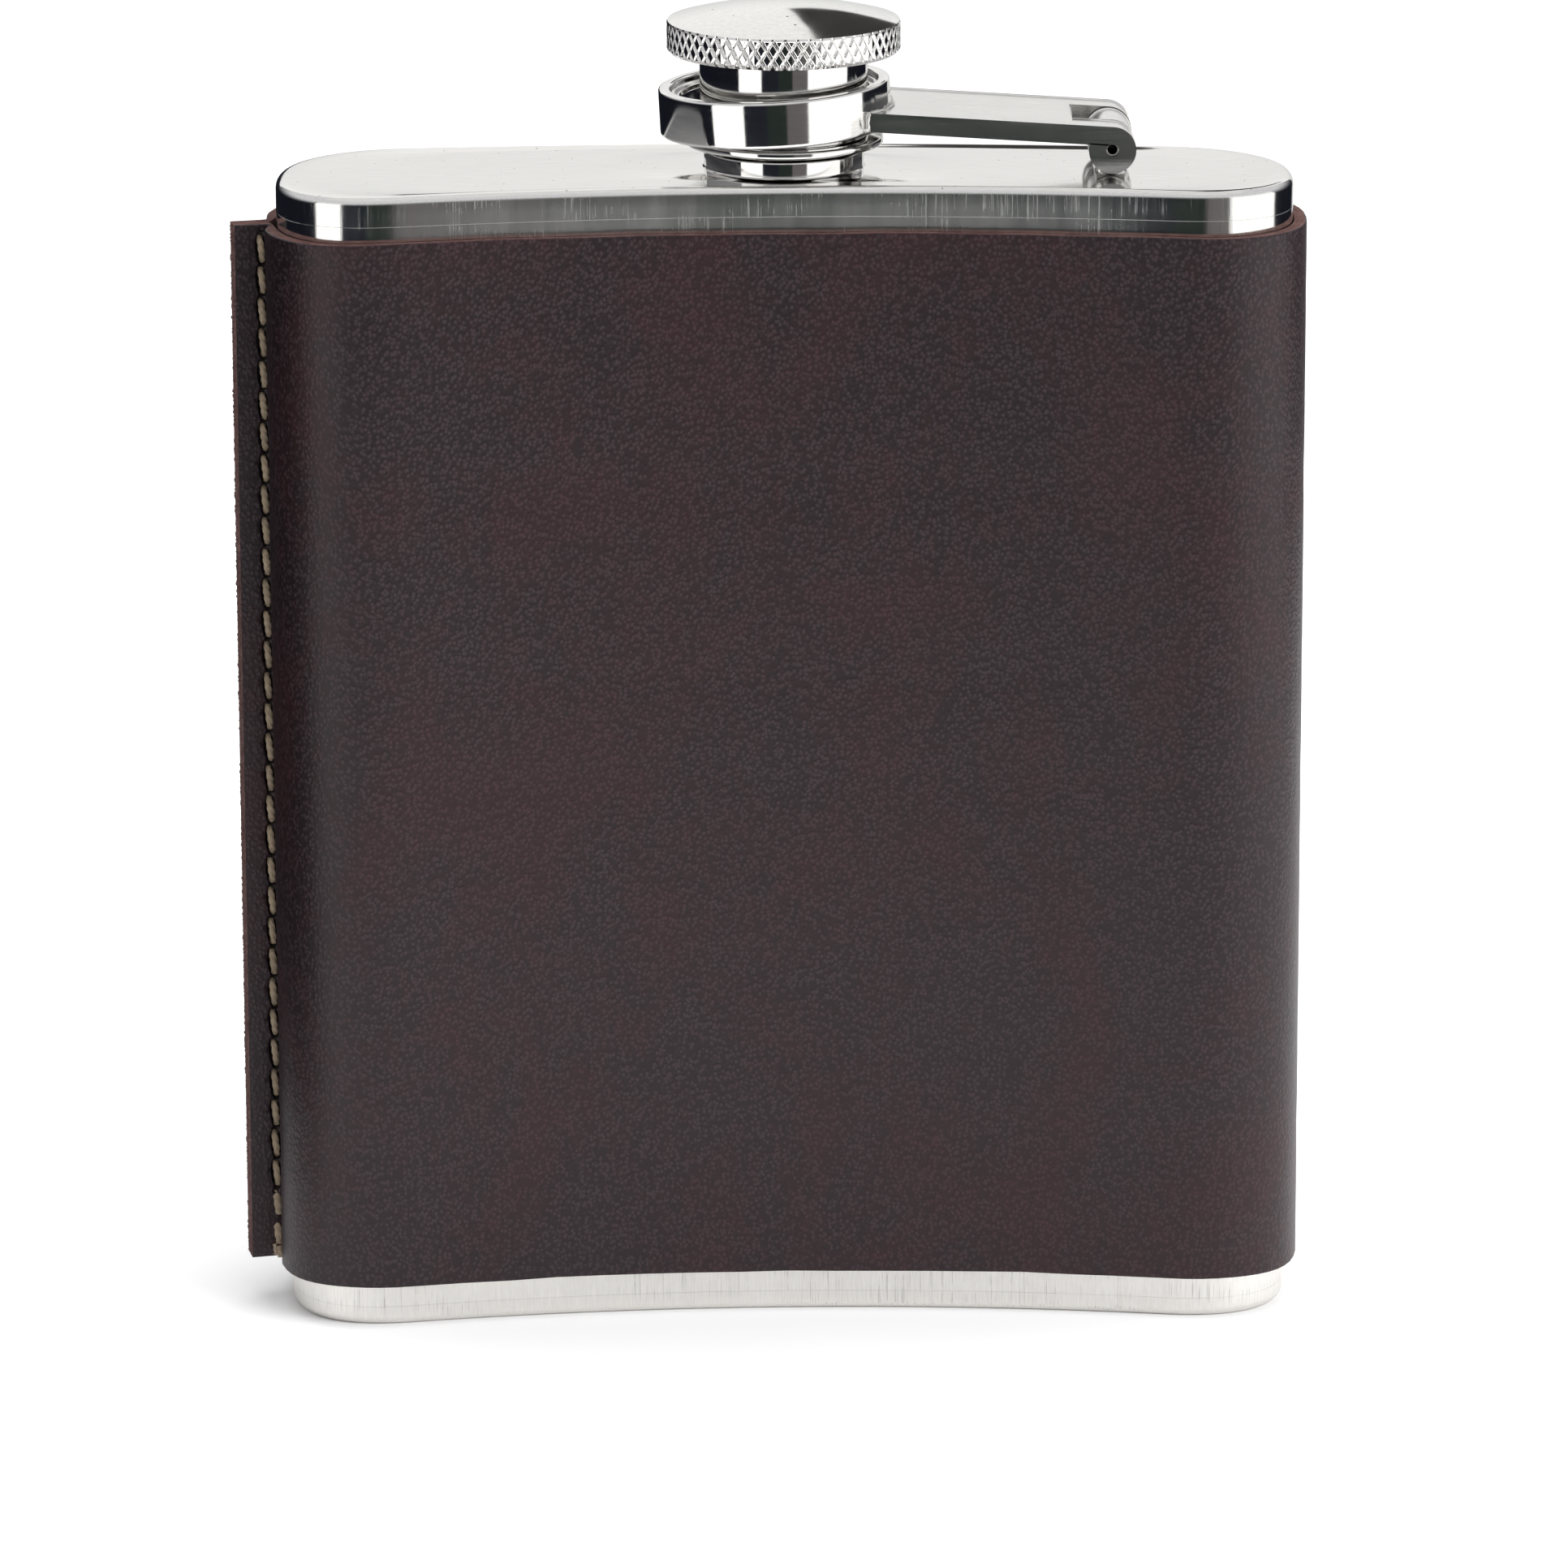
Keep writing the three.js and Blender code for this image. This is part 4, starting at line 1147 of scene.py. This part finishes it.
def lights():
    world = bpy.data.worlds.new("studio")
    bpy.context.scene.world = world
    world.use_nodes = True
    tree = world.node_tree
    parts = add_node(tree, "SeparateXYZ", Vector=add_node(tree, "TexCoord").outputs["Generated"])
    from_side = between(tree, parts.outputs["X"], -0.9, 0.9)
    from_above = between(tree, parts.outputs["Z"], 0.3, 0.8)
    around_table = mixed(tree, from_side, (0.12, 0.12, 0.12), (2.05, 2.05, 2.05))
    light = mixed(tree, from_above, around_table, (0.85, 0.85, 0.85))
    plug(tree, tree.nodes["Background"].inputs["Color"], light)
    soft_box("overhead_box", (0, 0.1, 0.9), (0.9, 0.9), 7)
    soft_box("left_box", (-0.7, -0.5, 0.5), (0.5, 0.7), 0.5)
    soft_box("right_box", (0.7, -0.5, 0.5), (0.5, 0.7), 7)


CAMERA_PLACE = (-11.3, -873.6, 279.5)
CAMERA_PITCH = radians(14.81)
CAMERA_YAW = radians(-0.73)
CAMERA_ROLL = radians(-0.17)
CAMERA_LENS = 219.7


def camera():
    data = bpy.data.cameras.new("camera")
    data.sensor_width = 36
    data.lens = CAMERA_LENS
    data.clip_start, data.clip_end = 0.05, 20
    eye = placed("camera", data)
    aim = Matrix.Rotation(CAMERA_YAW, 4, "Z") @ Matrix.Rotation(pi / 2 - CAMERA_PITCH, 4, "X")
    place = Matrix.Translation([value * MM for value in CAMERA_PLACE])
    eye.matrix_world = place @ aim @ Matrix.Rotation(CAMERA_ROLL, 4, "Z")
    bpy.context.scene.camera = eye


# ---- Assembly


def fit(piece, body, slot, *nodes):
    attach(piece, body)
    if nodes:
        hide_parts(*nodes)


camera()
lights()
studio_ring()
cloth("back_flag", hung(BACK_FLAG), GREY_CLOTH)
cloth("left_flag", hung(LEFT_FLAG), BLACK_CLOTH)
cloth("floor_cloth", [(x, y, 0.5) for x, y in FLOOR_CLOTH], BLACK_CLOTH)
floor()
fit(shell(), "flask", "satin_steel", "body_shell")
fit(top_plate(), "flask", "polished_steel", "top_plate")
fit(bottom_plate(), "flask", "satin_steel", "bottom_plate")
fit(leather_sleeve(), "flask", "leather", "leather_sleeve")
fit(fibres(), "flask", "leather")
fit(sewing("front_stitches", -1), "flask", "thread", "front_thread")
fit(sewing("rear_stitches", 1), "flask", "thread", "rear_thread")
fit(neck(), "flask", "polished_steel", "neck")
fit(hinge_tab(), "flask", "polished_steel", "hinge_post")
fit(tab_weld(), "flask", "satin_steel")
fit(hinge_rod(), "flask", "satin_steel", "hinge_pin")
fit(loose_ring(), "arm", "polished_steel", "captive_ring")
fit(hinge_arm(), "arm", "polished_steel", "captive_arm")
fit(braze(), "arm", "satin_steel")
fit(lip_washer(), "washer", "polished_steel", "retaining_washer")
fit(cap_knob(), "cap", "polished_steel", "cap_knob")
fit(cap_skirt(), "cap", "polished_steel", "cap_sleeve")
fit(cap_seal(), "cap", "silicone", "cap_gasket")

bpy.context.scene.view_settings.view_transform = "Standard"
